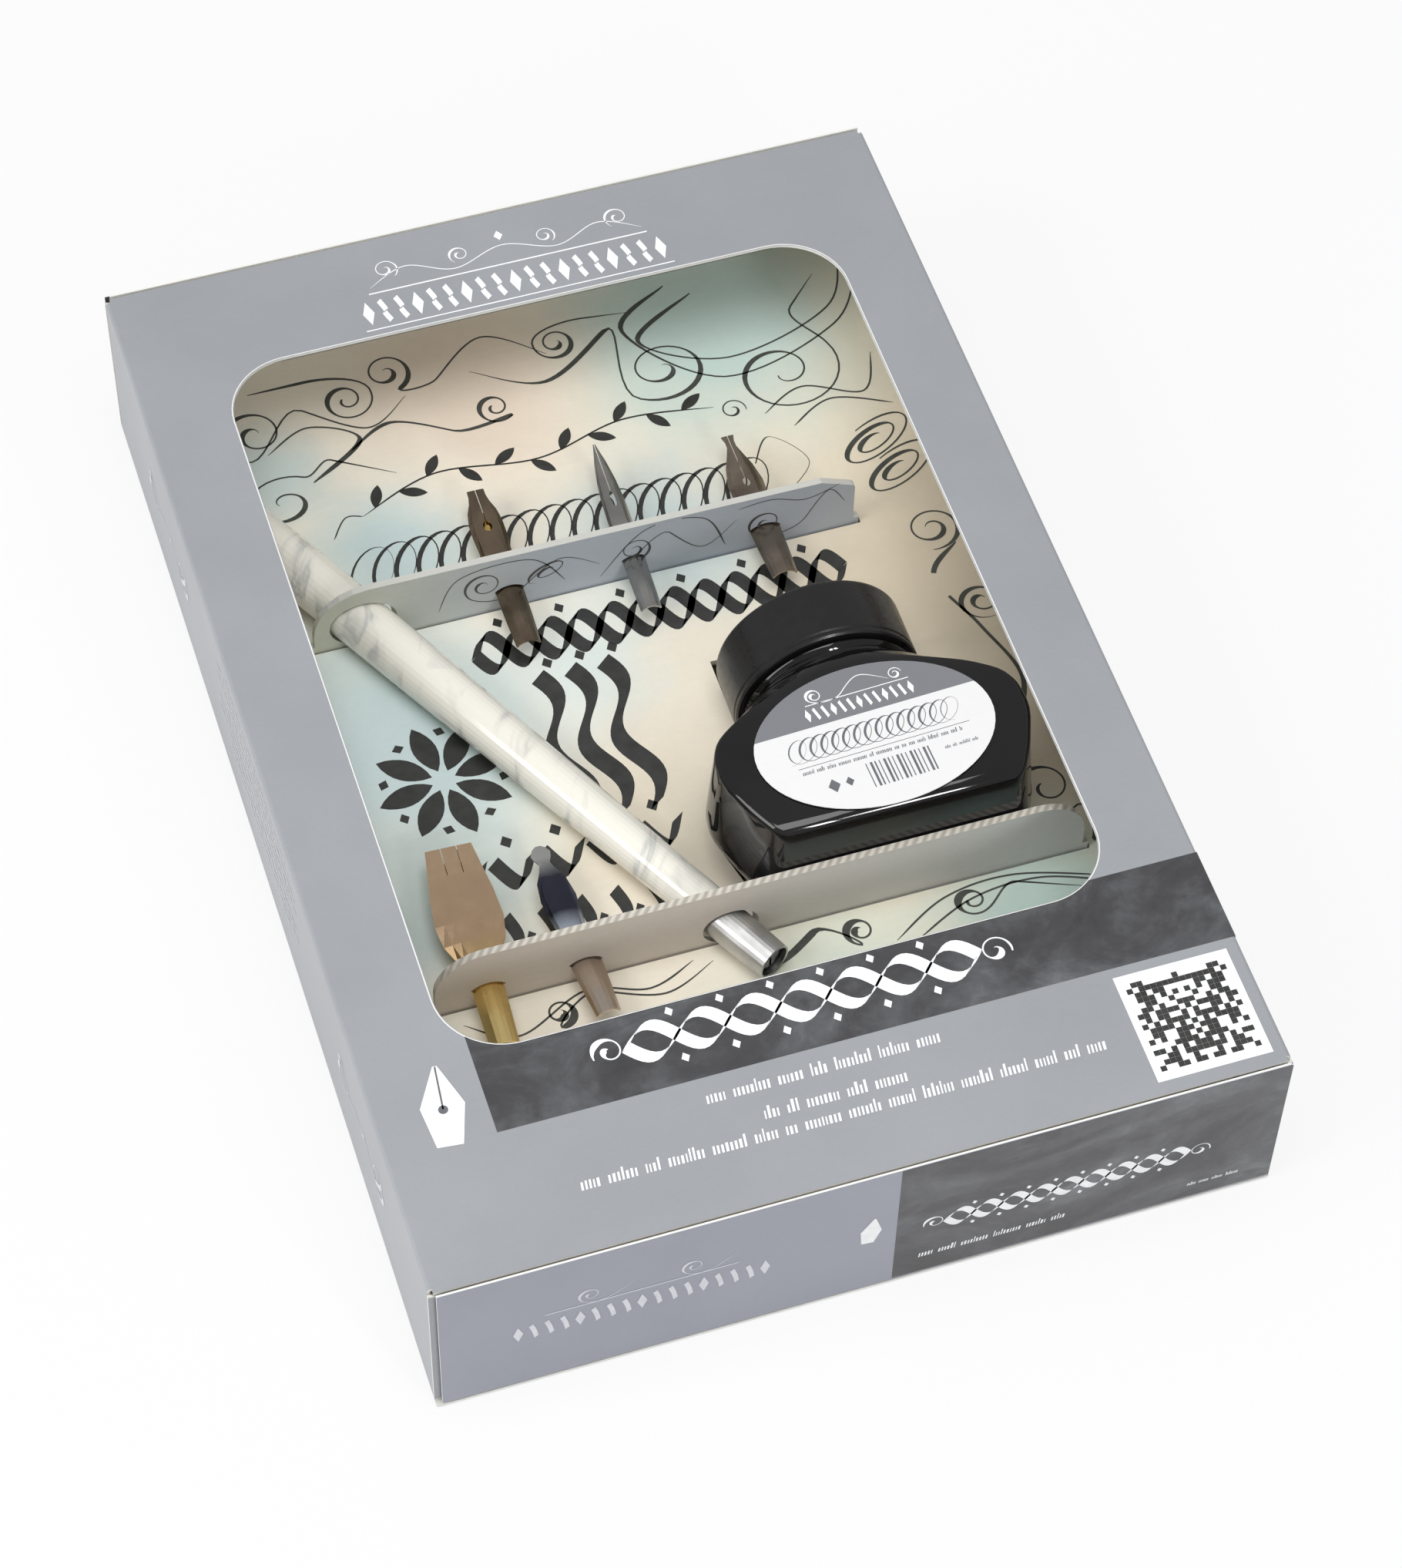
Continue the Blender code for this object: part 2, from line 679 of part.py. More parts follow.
def upper_wall():
    """The upper wall's outline, from its left foot over the top to its right foot."""
    left, right = UPPER_WALL_LEFT, UPPER_WALL_RIGHT
    corners = [
        (left - WALL_FOOT, TRIM_FROM), (left - WALL_FOOT, WALL_FOOT_TOP), (left, WALL_FOOT_TOP),
        (left, UPPER_WALL_TOP), (right - UPPER_WALL_END_RUN, UPPER_WALL_TOP_RIGHT),
        (right, UPPER_WALL_TOP_RIGHT - UPPER_WALL_END_DROP), (right, WALL_FOOT_TOP),
        (right + WALL_FOOT, WALL_FOOT_TOP), (right + WALL_FOOT, TRIM_FROM),
    ]
    return corners, [0, 0, 0, UPPER_WALL_CORNER, WALL_FOOT, WALL_FOOT, 0, 0, 0]


def lower_wall():
    """The lower wall's outline, the same way round."""
    left, right = LOWER_WALL_LEFT, LOWER_WALL_RIGHT
    corners = [
        (left - WALL_FOOT, TRIM_FROM), (left - WALL_FOOT, WALL_FOOT_TOP), (left, WALL_FOOT_TOP),
        (left, LOWER_WALL_TOP), (right, LOWER_WALL_TOP), (right, WALL_FOOT_TOP),
        (right + WALL_FOOT, WALL_FOOT_TOP), (right + WALL_FOOT, TRIM_FROM),
    ]
    return corners, [0, 0, 0, LOWER_WALL_CORNER, LOWER_WALL_CORNER, 0, 0, 0]


def wall_trim(name, wall, face):
    """What is cut away round a wall's outline."""
    corners, radii = wall
    beyond = BOX_DEPTH
    around = [
        (HALF_WIDTH, TRIM_FROM), (HALF_WIDTH, beyond), (-HALF_WIDTH, beyond),
        (-HALF_WIDTH, TRIM_FROM),
    ]
    outline = rounded([*corners, *around], [*radii, 0, 0, 0, 0])
    low, high = face - CUT_MARGIN, face + CORRUGATED + CUT_MARGIN
    return as_cutter(plate(name, [outline], low, high, STANDING))


def cradle_section():
    """A board turned up at both ends, seen from its side."""
    low, high = LOWER_WALL_FACE_Y, UPPER_WALL_FACE_Y + CORRUGATED
    inner_low, inner_high = low + CORRUGATED, high - CORRUGATED
    top = LOWER_WALL_TOP + CUT_MARGIN
    corners = [
        (low, top), (low, FLOOR_BOTTOM), (high, FLOOR_BOTTOM), (high, top),
        (inner_high, top), (inner_high, FLOOR_TOP), (inner_low, FLOOR_TOP), (inner_low, top),
    ]
    inside = CRADLE_BEND - CORRUGATED
    return rounded(corners, [0, CRADLE_BEND, CRADLE_BEND, 0, 0, inside, inside, 0], BEND_STEPS)


def cradle():
    """A board on the back panel whose two turned-up ends hold the holder and the nibs."""
    left = LOWER_WALL_LEFT - WALL_FOOT - TRIM_SPARE
    right = LOWER_WALL_RIGHT + WALL_FOOT + TRIM_SPARE
    board = plate("cradle", [cradle_section()], left, right, SIDEWAYS)
    boolean(board, wall_trim("upper_wall_trim", upper_wall(), UPPER_WALL_FACE_Y))
    boolean(board, wall_trim("lower_wall_trim", lower_wall(), LOWER_WALL_FACE_Y))
    start = LOWER_WALL_FACE_Y + CORRUGATED + TRIM_SPARE
    low, high = FLOOR_BOTTOM - CUT_MARGIN, FLOOR_TOP + CUT_MARGIN
    boolean(board, bottle_well("floor_well_cut", start, low, high))
    for name, radius, middle in holder_holes():
        boolean(board, holder_hole_cutter(name, radius, middle))
    for nib in NIBS:
        boolean(board, nib_slit_cutter(nib))
    return finish(board, "cradle")


def holder_holes():
    lower = (HOLDER_TO - HOLDER_FROM).length
    return (
        ("upper_holder_hole_cut", HOLDER_GRIP_RADIUS + HOLDER_HOLE_GAP, 0.0),
        ("lower_holder_hole_cut", HOLDER_FRONT_RADIUS + HOLDER_HOLE_GAP, lower),
    )


def holder_matrix(distance):
    """A place on the holder's axis, with Z along it towards the nib end."""
    turn = HOLDER_AXIS.to_track_quat("Z", "Y").to_matrix().to_4x4()
    return Matrix.Translation(HOLDER_FROM + HOLDER_AXIS * distance) @ turn


def holder_hole_cutter(name, radius, middle):
    bm = bmesh.new()
    bmesh.ops.create_cone(
        bm,
        cap_ends=True,
        segments=THIN_ROUND_STEPS,
        radius1=radius,
        radius2=radius,
        depth=CORRUGATED + TWICE * TWICE * radius,
    )
    return as_cutter(mesh_object(name, bm, holder_matrix(middle)))


# Nib holder


def holder_body():
    """The turned body, with a spigot at its front for the ferrule."""
    length = HOLDER_BACK + FERRULE_START
    profile = [(0.0, 0.0)]
    for along, share in HOLDER_SHARES:
        profile.append((HOLDER_GRIP_RADIUS * share, along * length))
    spigot = FERRULE_RADIUS - FERRULE_WALL - GAP
    profile += [(spigot, length), (spigot, length + SPIGOT_LENGTH), (0.0, length + SPIGOT_LENGTH)]
    profile.reverse()
    body = turned("holder_body", profile, THIN_ROUND_STEPS, holder_matrix(-HOLDER_BACK))
    return finish(body, "holder_body")


def holder_ferrule():
    """The tapered metal tube at the nib end."""
    start, end = FERRULE_START + GAP, FERRULE_END
    length = end - start
    roll = FERRULE_WALL * HALF
    profile = [
        (FERRULE_END_RADIUS - FERRULE_WALL, length - roll),
        (FERRULE_END_RADIUS - roll, length),
        (FERRULE_END_RADIUS, length - roll),
        (FERRULE_RADIUS, length * HALF),
        (FERRULE_RADIUS, roll),
        (FERRULE_RADIUS - roll, 0.0),
        (FERRULE_RADIUS - FERRULE_WALL, roll),
        (FERRULE_RADIUS - FERRULE_WALL, length * HALF),
    ]
    ferrule = turned("holder_ferrule", profile, THIN_ROUND_STEPS, holder_matrix(start))
    return finish(ferrule, "holder_ferrule")


def nib_grip():
    """The split core in the ferrule: a nib's shank slides in round it."""
    start = FERRULE_START + SPIGOT_LENGTH + GAP
    rim = GRIP_SLIT * HALF
    profile = [
        (0.0, GRIP_LENGTH), (GRIP_RADIUS - rim, GRIP_LENGTH), (GRIP_RADIUS, GRIP_LENGTH - rim),
        (GRIP_RADIUS, rim), (GRIP_RADIUS - rim, 0.0), (0.0, 0.0),
    ]
    grip = turned("nib_grip", profile, THIN_ROUND_STEPS, holder_matrix(start))
    slit = block(
        "grip_slit_cut",
        (-GRIP_SLIT * HALF, -GRIP_RADIUS * TWICE, GRIP_LENGTH * HALF),
        (GRIP_SLIT * HALF, GRIP_RADIUS * TWICE, GRIP_LENGTH + CUT_MARGIN),
    )
    slit.matrix_world = holder_matrix(start)
    boolean(grip, as_cutter(slit))
    return finish(grip, "nib_grip")


# Nibs: where each goes through its wall as a share of half the carton's width, how far it is
# yawed, how far its shank reaches out below the wall, and its pierced hole's share of the
# length with the hole's half width and half length
NIB_STUB = {
    "name": "nib_stub",
    "wall": UPPER_WALL_FACE_Y,
    "place_share": -0.2349,
    "yaw": math.radians(0.6),
    "below": 0.0117,
    "length": 0.0330,
    "half_width": 0.0029,
    "shares": STUB_SHARES,
    "hole": (0.76, 0.00075, 0.0011),
    "slit_share": 0.76,
}
NIB_POINTED = {
    "name": "nib_pointed",
    "wall": UPPER_WALL_FACE_Y,
    "place_share": 0.0833,
    "yaw": math.radians(1.6),
    "below": 0.0108,
    "length": 0.0358,
    "half_width": 0.00205,
    "shares": POINTED_SHARES,
    "hole": (0.66, 0.00045, 0.0017),
    "slit_share": 0.66,
}
NIB_FLARED = {
    "name": "nib_flared",
    "wall": UPPER_WALL_FACE_Y,
    "place_share": 0.4327,
    "yaw": math.radians(-0.6),
    "below": 0.0103,
    "length": 0.0304,
    "half_width": 0.0031,
    "shares": FLARED_SHARES,
    "hole": (0.66, 0.0006, 0.0010),
    "slit_share": 0.66,
}
NIB_POSTER = {
    "name": "nib_poster",
    "wall": LOWER_WALL_FACE_Y,
    "place_share": -0.6164,
    "yaw": math.radians(2.4),
    "below": 0.0109,
    "length": 0.0376,
    "half_width": 0.00555,
    "shares": POSTER_SHARES,
    "hole": None,
    "slit_share": 0.86,
}
NIB_DISC = {
    "name": "nib_disc",
    "wall": LOWER_WALL_FACE_Y,
    "place_share": -0.3636,
    "yaw": math.radians(-3.2),
    "below": 0.0101,
    "length": 0.03275,
    "half_width": 0.0029,
    "shares": DISC_SHARES,
    "hole": None,
    "slit_share": None,
}
NIBS = (NIB_STUB, NIB_POINTED, NIB_FLARED, NIB_POSTER, NIB_DISC)


def nib_matrix(nib):
    """A nib's own frame: its shank's end at the origin, Y towards the tip and Z up."""
    end = Vector((HALF_WIDTH * nib["place_share"], nib["wall"] - nib["below"], NIB_PLANE))
    return Matrix.Translation(end) @ Matrix.Rotation(-nib["yaw"], MATRIX_SIZE, "Z")


def station(nib, share):
    """Half width and rise at a share of the length."""
    at, widths, rises = zip(*nib["shares"])
    half_width = float(np.interp(share, at, widths)) * nib["half_width"]
    return half_width, float(np.interp(share, at, rises)) * half_width


def arch_point(half_width, rise, across):
    """A point of a nib's arched section. Its crown is at height zero."""
    if rise < NIB_SHEET * HALF:
        return across * half_width, -rise * across * across
    radius = (half_width * half_width + rise * rise) / (TWICE * rise)
    angle = math.asin(min(half_width / radius, WHOLE))
    return radius * math.sin(across * angle), radius * (math.cos(across * angle) - WHOLE)


def arched_row(bm, wide, rise, y, lift):
    """A row of points across an arched sheet."""
    row = []
    for across in np.linspace(-WHOLE, WHOLE, NIB_ACROSS):
        x, z = arch_point(wide, rise, float(across))
        row.append(bm.verts.new((x, y, z + lift)))
    return row


def thick_sheet(name, nib, bm, rows, thickness):
    """The faces between rows of points, thickened downwards by Solidify."""
    for low, high in zip(rows, rows[1:]):
        for first, second, third, fourth in zip(low, low[1:], high[1:], high):
            bm.faces.new((first, second, third, fourth))
    sheet = mesh_object(name, bm, nib_matrix(nib))
    shell = sheet.modifiers.new("sheet", "SOLIDIFY")
    shell.thickness = thickness
    shell.offset = -WHOLE
    return sheet


def arched_sheet(name, nib, shares, width_share=WHOLE, drop=0.0):
    """A sheet that follows the nib's stations, or a narrower one set below it."""
    bm = bmesh.new()
    rows = []
    for share in shares:
        half_width, rise = station(nib, share)
        wide, y = half_width * width_share, share * nib["length"]
        rows.append(arched_row(bm, wide, rise * width_share, y, -drop))
    return thick_sheet(name, nib, bm, rows, NIB_SHEET)


def nib_piece(nib):
    piece = arched_sheet(nib["name"], nib, [share for share, _, _ in nib["shares"]])
    if nib["hole"]:
        boolean(piece, pierced_hole(nib))
    if nib["slit_share"]:
        for cutter in tip_slits(nib):
            boolean(piece, cutter)
    return finish(piece, nib["name"])


def pierced_hole(nib):
    share, half_width, half_length = nib["hole"]
    bm = bmesh.new()
    size = Matrix.Diagonal((half_width, half_length, WHOLE, WHOLE))
    place = Matrix.Translation((0.0, share * nib["length"], 0.0)) @ size
    bmesh.ops.create_cone(
        bm, cap_ends=True, segments=HOLE_STEPS, radius1=WHOLE, radius2=WHOLE,
        depth=CUT_MARGIN * TWICE, matrix=place,
    )
    return as_cutter(mesh_object(f"{nib['name']}_hole_cut", bm, nib_matrix(nib)))


def tip_slits(nib):
    """The slit from the pierced hole to the tip, or the short slits of a broad edge."""
    length = nib["length"]
    places = POSTER_SLIT_PLACES if nib is NIB_POSTER else (0.0,)
    for number, place in enumerate(places):
        slit = block(
            f"{nib['name']}_slit_cut_{number}",
            (place - NIB_TIP_SLIT * HALF, nib["slit_share"] * length, -CUT_MARGIN),
            (place + NIB_TIP_SLIT * HALF, length + CUT_MARGIN, CUT_MARGIN),
        )
        slit.matrix_world = nib_matrix(nib)
        yield as_cutter(slit)


def reservoir(name, nib, clear, last):
    """A thin plate under a nib that holds ink, set off from it by a fine gap. It starts clear of
    the wall and ends at a share of the nib's length."""
    first = (nib["below"] + CORRUGATED + clear) / nib["length"]
    between = [share for share, _, _ in nib["shares"] if first < share < last]
    shares = [first, *between, last]
    piece = arched_sheet(name, nib, shares, RESERVOIR_WIDTH_SHARE, RESERVOIR_DROP)
    return finish(piece, "reservoir")


def nib_slit_cutter(nib):
    """The arched slit in a wall, a little larger than the shank that goes through it."""
    first = nib["below"] - CUT_MARGIN
    last = nib["below"] + CORRUGATED + CUT_MARGIN
    wide, rise = station(nib, (first + last) * HALF / nib["length"])
    bm = bmesh.new()
    rows = [arched_row(bm, wide + NIB_SLIT_GAP, rise, y, NIB_SLIT_GAP) for y in (first, last)]
    thickness = NIB_SHEET + TWICE * NIB_SLIT_GAP
    return as_cutter(thick_sheet(f"{nib['name']}_wall_cut", nib, bm, rows, thickness))


# Ink bottle


def station_y(row):
    return BOTTLE_BASE_Y + BODY_HEIGHT * row[0]


def body_sizes(row, wall=0.0):
    """Half widths of the front, the middle and the back, and half depth, inside a wall."""
    _, front, middle, depth, round_share = row
    narrowing = BACK_WIDTH_SHARE + (WHOLE - BACK_WIDTH_SHARE) * round_share
    front_half = max(front * BOTTLE_HALF_WIDTH - wall, wall)
    back_half = max(front * BOTTLE_HALF_WIDTH * narrowing - wall, wall)
    return front_half, middle * BOTTLE_HALF_WIDTH - wall, back_half, depth * BOTTLE_HALF_DEPTH - wall


def half_width_at(row, height):
    """The body's half width at a height below its axis."""
    _, middle, back, depth = body_sizes(row)
    across, below = zip(*side_points(back, middle, depth, row[-1]))
    return float(np.interp(BOTTLE_AXIS_Z - height, below[::-1], across[::-1]))


def side_points(face, middle, depth, round_share):
    """A quarter of a section, from the middle of its face over the rounded edge to its side."""
    edge = BODY_EDGE * (WHOLE - round_share)
    points = [(0.0, depth)]
    for angle in np.linspace(0.0, math.pi * HALF, EDGE_STEPS + 1):
        across = face - edge + edge * math.sin(angle)
        points.append((across, depth - edge + edge * math.cos(angle)))
    for share in np.linspace(0.0, WHOLE, SIDE_STEPS)[1:]:
        angle = math.pi * HALF * share
        out = share + (math.sin(angle) - share) * round_share
        up = (WHOLE - share) * (WHOLE - round_share) + math.cos(angle) * round_share
        points.append((face + (middle - face) * out, (depth - edge) * up))
    return points


def section_points(row, wall=0.0):
    """A closed section of the body: flat at front and back, the back narrower."""
    front, middle, back, depth = body_sizes(row, wall)
    over = side_points(front, middle, depth, row[-1])
    under = [(x, -z) for x, z in side_points(back, middle, depth, row[-1])]
    right = over + under[-2::-1]
    left = [(-x, z) for x, z in right[-2:0:-1]]
    return [Vector((x, station_y(row), z)) for x, z in right + left]


def loft(name, sections, matrix):
    """A closed body through a row of sections with as many points each."""
    bm = bmesh.new()
    rings = [[bm.verts.new(point) for point in section] for section in sections]
    for low, high in zip(rings, rings[1:]):
        low_on, high_on = low[1:] + low[:1], high[1:] + high[:1]
        for first, second, third, fourth in zip(low, low_on, high_on, high):
            bm.faces.new((first, second, third, fourth))
    bm.faces.new(rings[0])
    bm.faces.new(rings[-1])
    bmesh.ops.recalc_face_normals(bm, faces=bm.faces)
    return mesh_object(name, bm, matrix)


def bottle_axis(height=0.0):
    """A place on the bottle's axis above its base, with Z along it towards the cap."""
    return Matrix.Translation((BOTTLE_X, BOTTLE_BASE_Y + height, BOTTLE_AXIS_Z)) @ ALONG_Y


def neck_profile():
    """The neck with its collar, from its mouth down its outer side, closed at its foot."""
    foot = BODY_SHARES[-NECK_FOOT_STEPS][0] * BODY_HEIGHT
    collar_top = COLLAR_HEIGHT + COLLAR_WIDTH
    under_collar = COLLAR_RADIUS - COLLAR_WIDTH
    return [
        (0.0, NECK_HEIGHT), (NECK_RADIUS - GAP, NECK_HEIGHT), (NECK_RADIUS, NECK_HEIGHT - GAP),
        (NECK_RADIUS, collar_top), (COLLAR_RADIUS - GAP, collar_top),
        (COLLAR_RADIUS, COLLAR_HEIGHT + COLLAR_WIDTH * HALF), (COLLAR_RADIUS - GAP, COLLAR_HEIGHT),
        (under_collar, COLLAR_HEIGHT - GAP), (under_collar, foot), (0.0, foot),
    ]


def cavity_profile():
    """The mouth and the throat, from above the mouth down to the middle of the body."""
    above, foot = NECK_HEIGHT + CUT_MARGIN, BODY_SHARES[-THROAT_STEPS][0] * BODY_HEIGHT
    return [(0.0, above), (MOUTH_RADIUS, above), (MOUTH_RADIUS, foot), (0.0, foot)]


def thread_ring(share):
    """The ridge's section at a share of its length, lower at both ends."""
    angle = TWICE * math.pi * THREAD_TURNS * share
    height = THREAD_START + THREAD_PITCH * THREAD_TURNS * share
    fade = min(WHOLE, min(share, WHOLE - share) * THREAD_STEPS * HALF)
    crest = NECK_RADIUS - GAP + (THREAD_HEIGHT + GAP) * max(fade, HALF)
    root = NECK_RADIUS - TWICE * GAP
    wide, narrow = THREAD_WIDTH * HALF, THREAD_WIDTH * HALF * HALF
    section = ((root, -wide), (crest, -narrow), (crest, narrow), (root, wide))
    return [(r * math.cos(angle), r * math.sin(angle), height + along) for r, along in section]


def thread():
    """The ridge wound on the neck: its section swept up a helix."""
    shares = np.linspace(0.0, WHOLE, round(THREAD_STEPS * THREAD_TURNS))
    ridge = loft("thread_join", [thread_ring(float(share)) for share in shares], bottle_axis())
    return as_cutter(ridge)


def ink_bottle():
    """The glass bottle: its lofted body, its neck, thread and collar, and its open inside."""
    middle = Matrix.Translation((BOTTLE_X, 0.0, BOTTLE_AXIS_Z))
    bottle = loft("ink_bottle", [section_points(row) for row in BODY_SHARES], middle)
    neck = turned("neck_join", neck_profile(), ROUND_STEPS, bottle_axis())
    boolean(bottle, as_cutter(neck), "UNION")
    boolean(bottle, thread(), "UNION")
    inside = [section_points(row, GLASS) for row in BODY_SHARES[SOLID_STEPS:-SOLID_STEPS]]
    boolean(bottle, as_cutter(loft("bottle_inside_cut", inside, middle)))
    throat = turned("bottle_throat_cut", cavity_profile(), ROUND_STEPS, bottle_axis())
    boolean(bottle, as_cutter(throat))
    return finish(bottle, "ink_bottle")


def bottle_cap():
    """The screw cap. Its own thread is left out: the bore clears the neck's."""
    height = CAP_TOP_HEIGHT - CAP_RIM_HEIGHT
    inside = height - CAP_TOP_WALL
    profile = [(0.0, height)]
    for angle in np.linspace(0.0, math.pi * HALF, BEND_STEPS):
        radius = CAP_RADIUS - CAP_EDGE + CAP_EDGE * math.sin(angle)
        profile.append((radius, height - CAP_EDGE + CAP_EDGE * math.cos(angle)))
    profile += [
        (CAP_RADIUS, CAP_RIM_LIP), (CAP_RADIUS - CAP_RIM_LIP, 0.0), (CAP_BORE, 0.0),
        (CAP_BORE, inside), (0.0, inside),
    ]
    cap = turned("bottle_cap", profile, ROUND_STEPS, bottle_axis(CAP_RIM_HEIGHT))
    return finish(cap, "bottle_cap")


def cap_liner():
    """The card disc in the cap that seals the mouth. It rides up with the cap but doesn't turn."""
    top = CAP_TOP_HEIGHT - CAP_TOP_WALL - GAP
    profile = [
        (0.0, LINER_THICKNESS), (LINER_RADIUS, LINER_THICKNESS), (LINER_RADIUS, 0.0), (0.0, 0.0)
    ]
    liner = turned("cap_liner", profile, ROUND_STEPS, bottle_axis(top - LINER_THICKNESS))
    return finish(liner, "cap_liner")


def bottle_label():
    outline = [
        (LABEL_HALF_WIDTH * math.cos(angle), LABEL_HALF_LENGTH * math.sin(angle))
        for angle in np.linspace(0.0, TWICE * math.pi, LABEL_STEPS, endpoint=False)
    ]
    low = BOTTLE_AXIS_Z + BOTTLE_HALF_DEPTH + GAP
    middle = Matrix.Translation((BOTTLE_X, BOTTLE_BASE_Y + LABEL_HEIGHT, 0.0))
    place = middle @ Matrix.Rotation(LABEL_TURN, MATRIX_SIZE, "Z")
    label = plate("bottle_label", [outline], low, low + LABEL_THICKNESS, place)
    return finish(label, "bottle_label")


def build():
    carton_sleeve()
    for side, word in ENDS:
        panel = closure(side, word)
        tuck_tab(side, word, panel)
        for hand, place in HANDS:
            dust_flap(side, word, hand, place)
    display_card()
    cradle()
    body = holder_body()
    for piece in (holder_ferrule(), nib_grip()):
        parented(piece, body)
    made = {nib["name"]: nib_piece(nib) for nib in NIBS}
    for name, nib, clear, last in (
        ("stub_reservoir", NIB_STUB, STUB_RESERVOIR_CLEAR, STUB_RESERVOIR_SHARE),
        ("poster_under_plate", NIB_POSTER, POSTER_PLATE_CLEAR, POSTER_PLATE_SHARE),
        ("disc_reservoir", NIB_DISC, DISC_RESERVOIR_CLEAR, DISC_RESERVOIR_SHARE),
    ):
        parented(reservoir(name, nib, clear, last), made[nib["name"]])
    bottle = ink_bottle()
    parented(bottle_label(), bottle)
    liner = parented(cap_liner(), bottle)
    parented(bottle_cap(), liner)


clear_scene()
PARTS = new_collection("calligraphy_set_box")
CUTTERS = new_collection("cutters")
build()
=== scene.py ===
"""Looks for the calligraphy set box: printed carton and platform, metal nibs, lacquered holder
and a glass bottle of black ink. Metres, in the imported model's own frame."""

import math
import random

import bmesh
import bpy
from mathutils import Matrix, Quaternion, Vector


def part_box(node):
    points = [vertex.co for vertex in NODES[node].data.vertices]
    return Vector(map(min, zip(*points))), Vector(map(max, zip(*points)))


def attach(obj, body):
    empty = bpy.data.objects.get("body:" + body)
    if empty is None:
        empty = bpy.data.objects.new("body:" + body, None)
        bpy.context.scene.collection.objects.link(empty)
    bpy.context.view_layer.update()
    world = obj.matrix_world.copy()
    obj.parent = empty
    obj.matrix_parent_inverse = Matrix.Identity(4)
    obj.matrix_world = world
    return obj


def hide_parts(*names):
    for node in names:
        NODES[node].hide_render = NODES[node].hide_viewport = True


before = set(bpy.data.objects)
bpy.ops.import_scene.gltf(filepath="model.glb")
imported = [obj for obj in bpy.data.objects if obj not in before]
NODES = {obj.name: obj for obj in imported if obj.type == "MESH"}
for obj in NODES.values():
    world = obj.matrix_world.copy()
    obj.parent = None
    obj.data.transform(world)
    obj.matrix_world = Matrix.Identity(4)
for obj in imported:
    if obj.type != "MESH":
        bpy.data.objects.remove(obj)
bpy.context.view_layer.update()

# Camera of the photograph
CAMERA_AT = Vector((-0.13592, -0.40837, 0.60800))
CAMERA_LOOK = Vector((0.19034, 0.54493, -0.81659))
CAMERA_ROLL = math.radians(1.706)
FOCAL_PIXELS = 5869.47
IMAGE_LONG_SIDE = 2035
SENSOR = 36.0

# Print lies this far off the board, and the carton's skin this far inside the solid one
PRINT_LIFT = 0.00002
SKIN_INSET = 0.00008
MM = 0.001
BOARD = 0.0005
CORRUGATED = 0.0012
SMOOTH_ANGLE = math.radians(32.0)
LABEL_TURN = math.radians(2.4)

SLEEVE_LOW, SLEEVE_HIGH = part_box("carton_sleeve")
CARD_LOW, CARD_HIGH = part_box("display_card")
LABEL_LOW, LABEL_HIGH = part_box("bottle_label")
BOTTLE_LOW, BOTTLE_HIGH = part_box("ink_bottle")
CAP_LOW, CAP_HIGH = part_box("bottle_cap")
FRONT_Z = SLEEVE_HIGH.z
END_Y = SLEEVE_LOW.y
SIDE_X = SLEEVE_LOW.x
UPPER_FACE_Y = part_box("cradle")[1].y - CORRUGATED

# Tints that more than one piece has, as screen values from 0 to 255
BOARD_WHITE = (222, 220, 214)
FLAP_PRINT = (155, 158, 163)

# A point on the edge between the label's white and its grey
LABEL_SPLIT_X, LABEL_SPLIT_Y = 0.0272, -0.01905


def linear(red, green, blue):
    """A colour written as screen values from 0 to 255, as the shader wants it."""
    values = []
    for value in (red, green, blue):
        share = value / 255.0
        values.append(share / 12.92 if share < 0.04045 else ((share + 0.055) / 1.055) ** 2.4)
    return (*values, 1.0)


def arc(x, y, radius, start, sweep, steps):
    """A round stretch from one angle on, both of its ends included."""
    angles = [start + sweep * step / steps for step in range(steps + 1)]
    return [(x + radius * math.cos(angle), y + radius * math.sin(angle)) for angle in angles]


# Materials


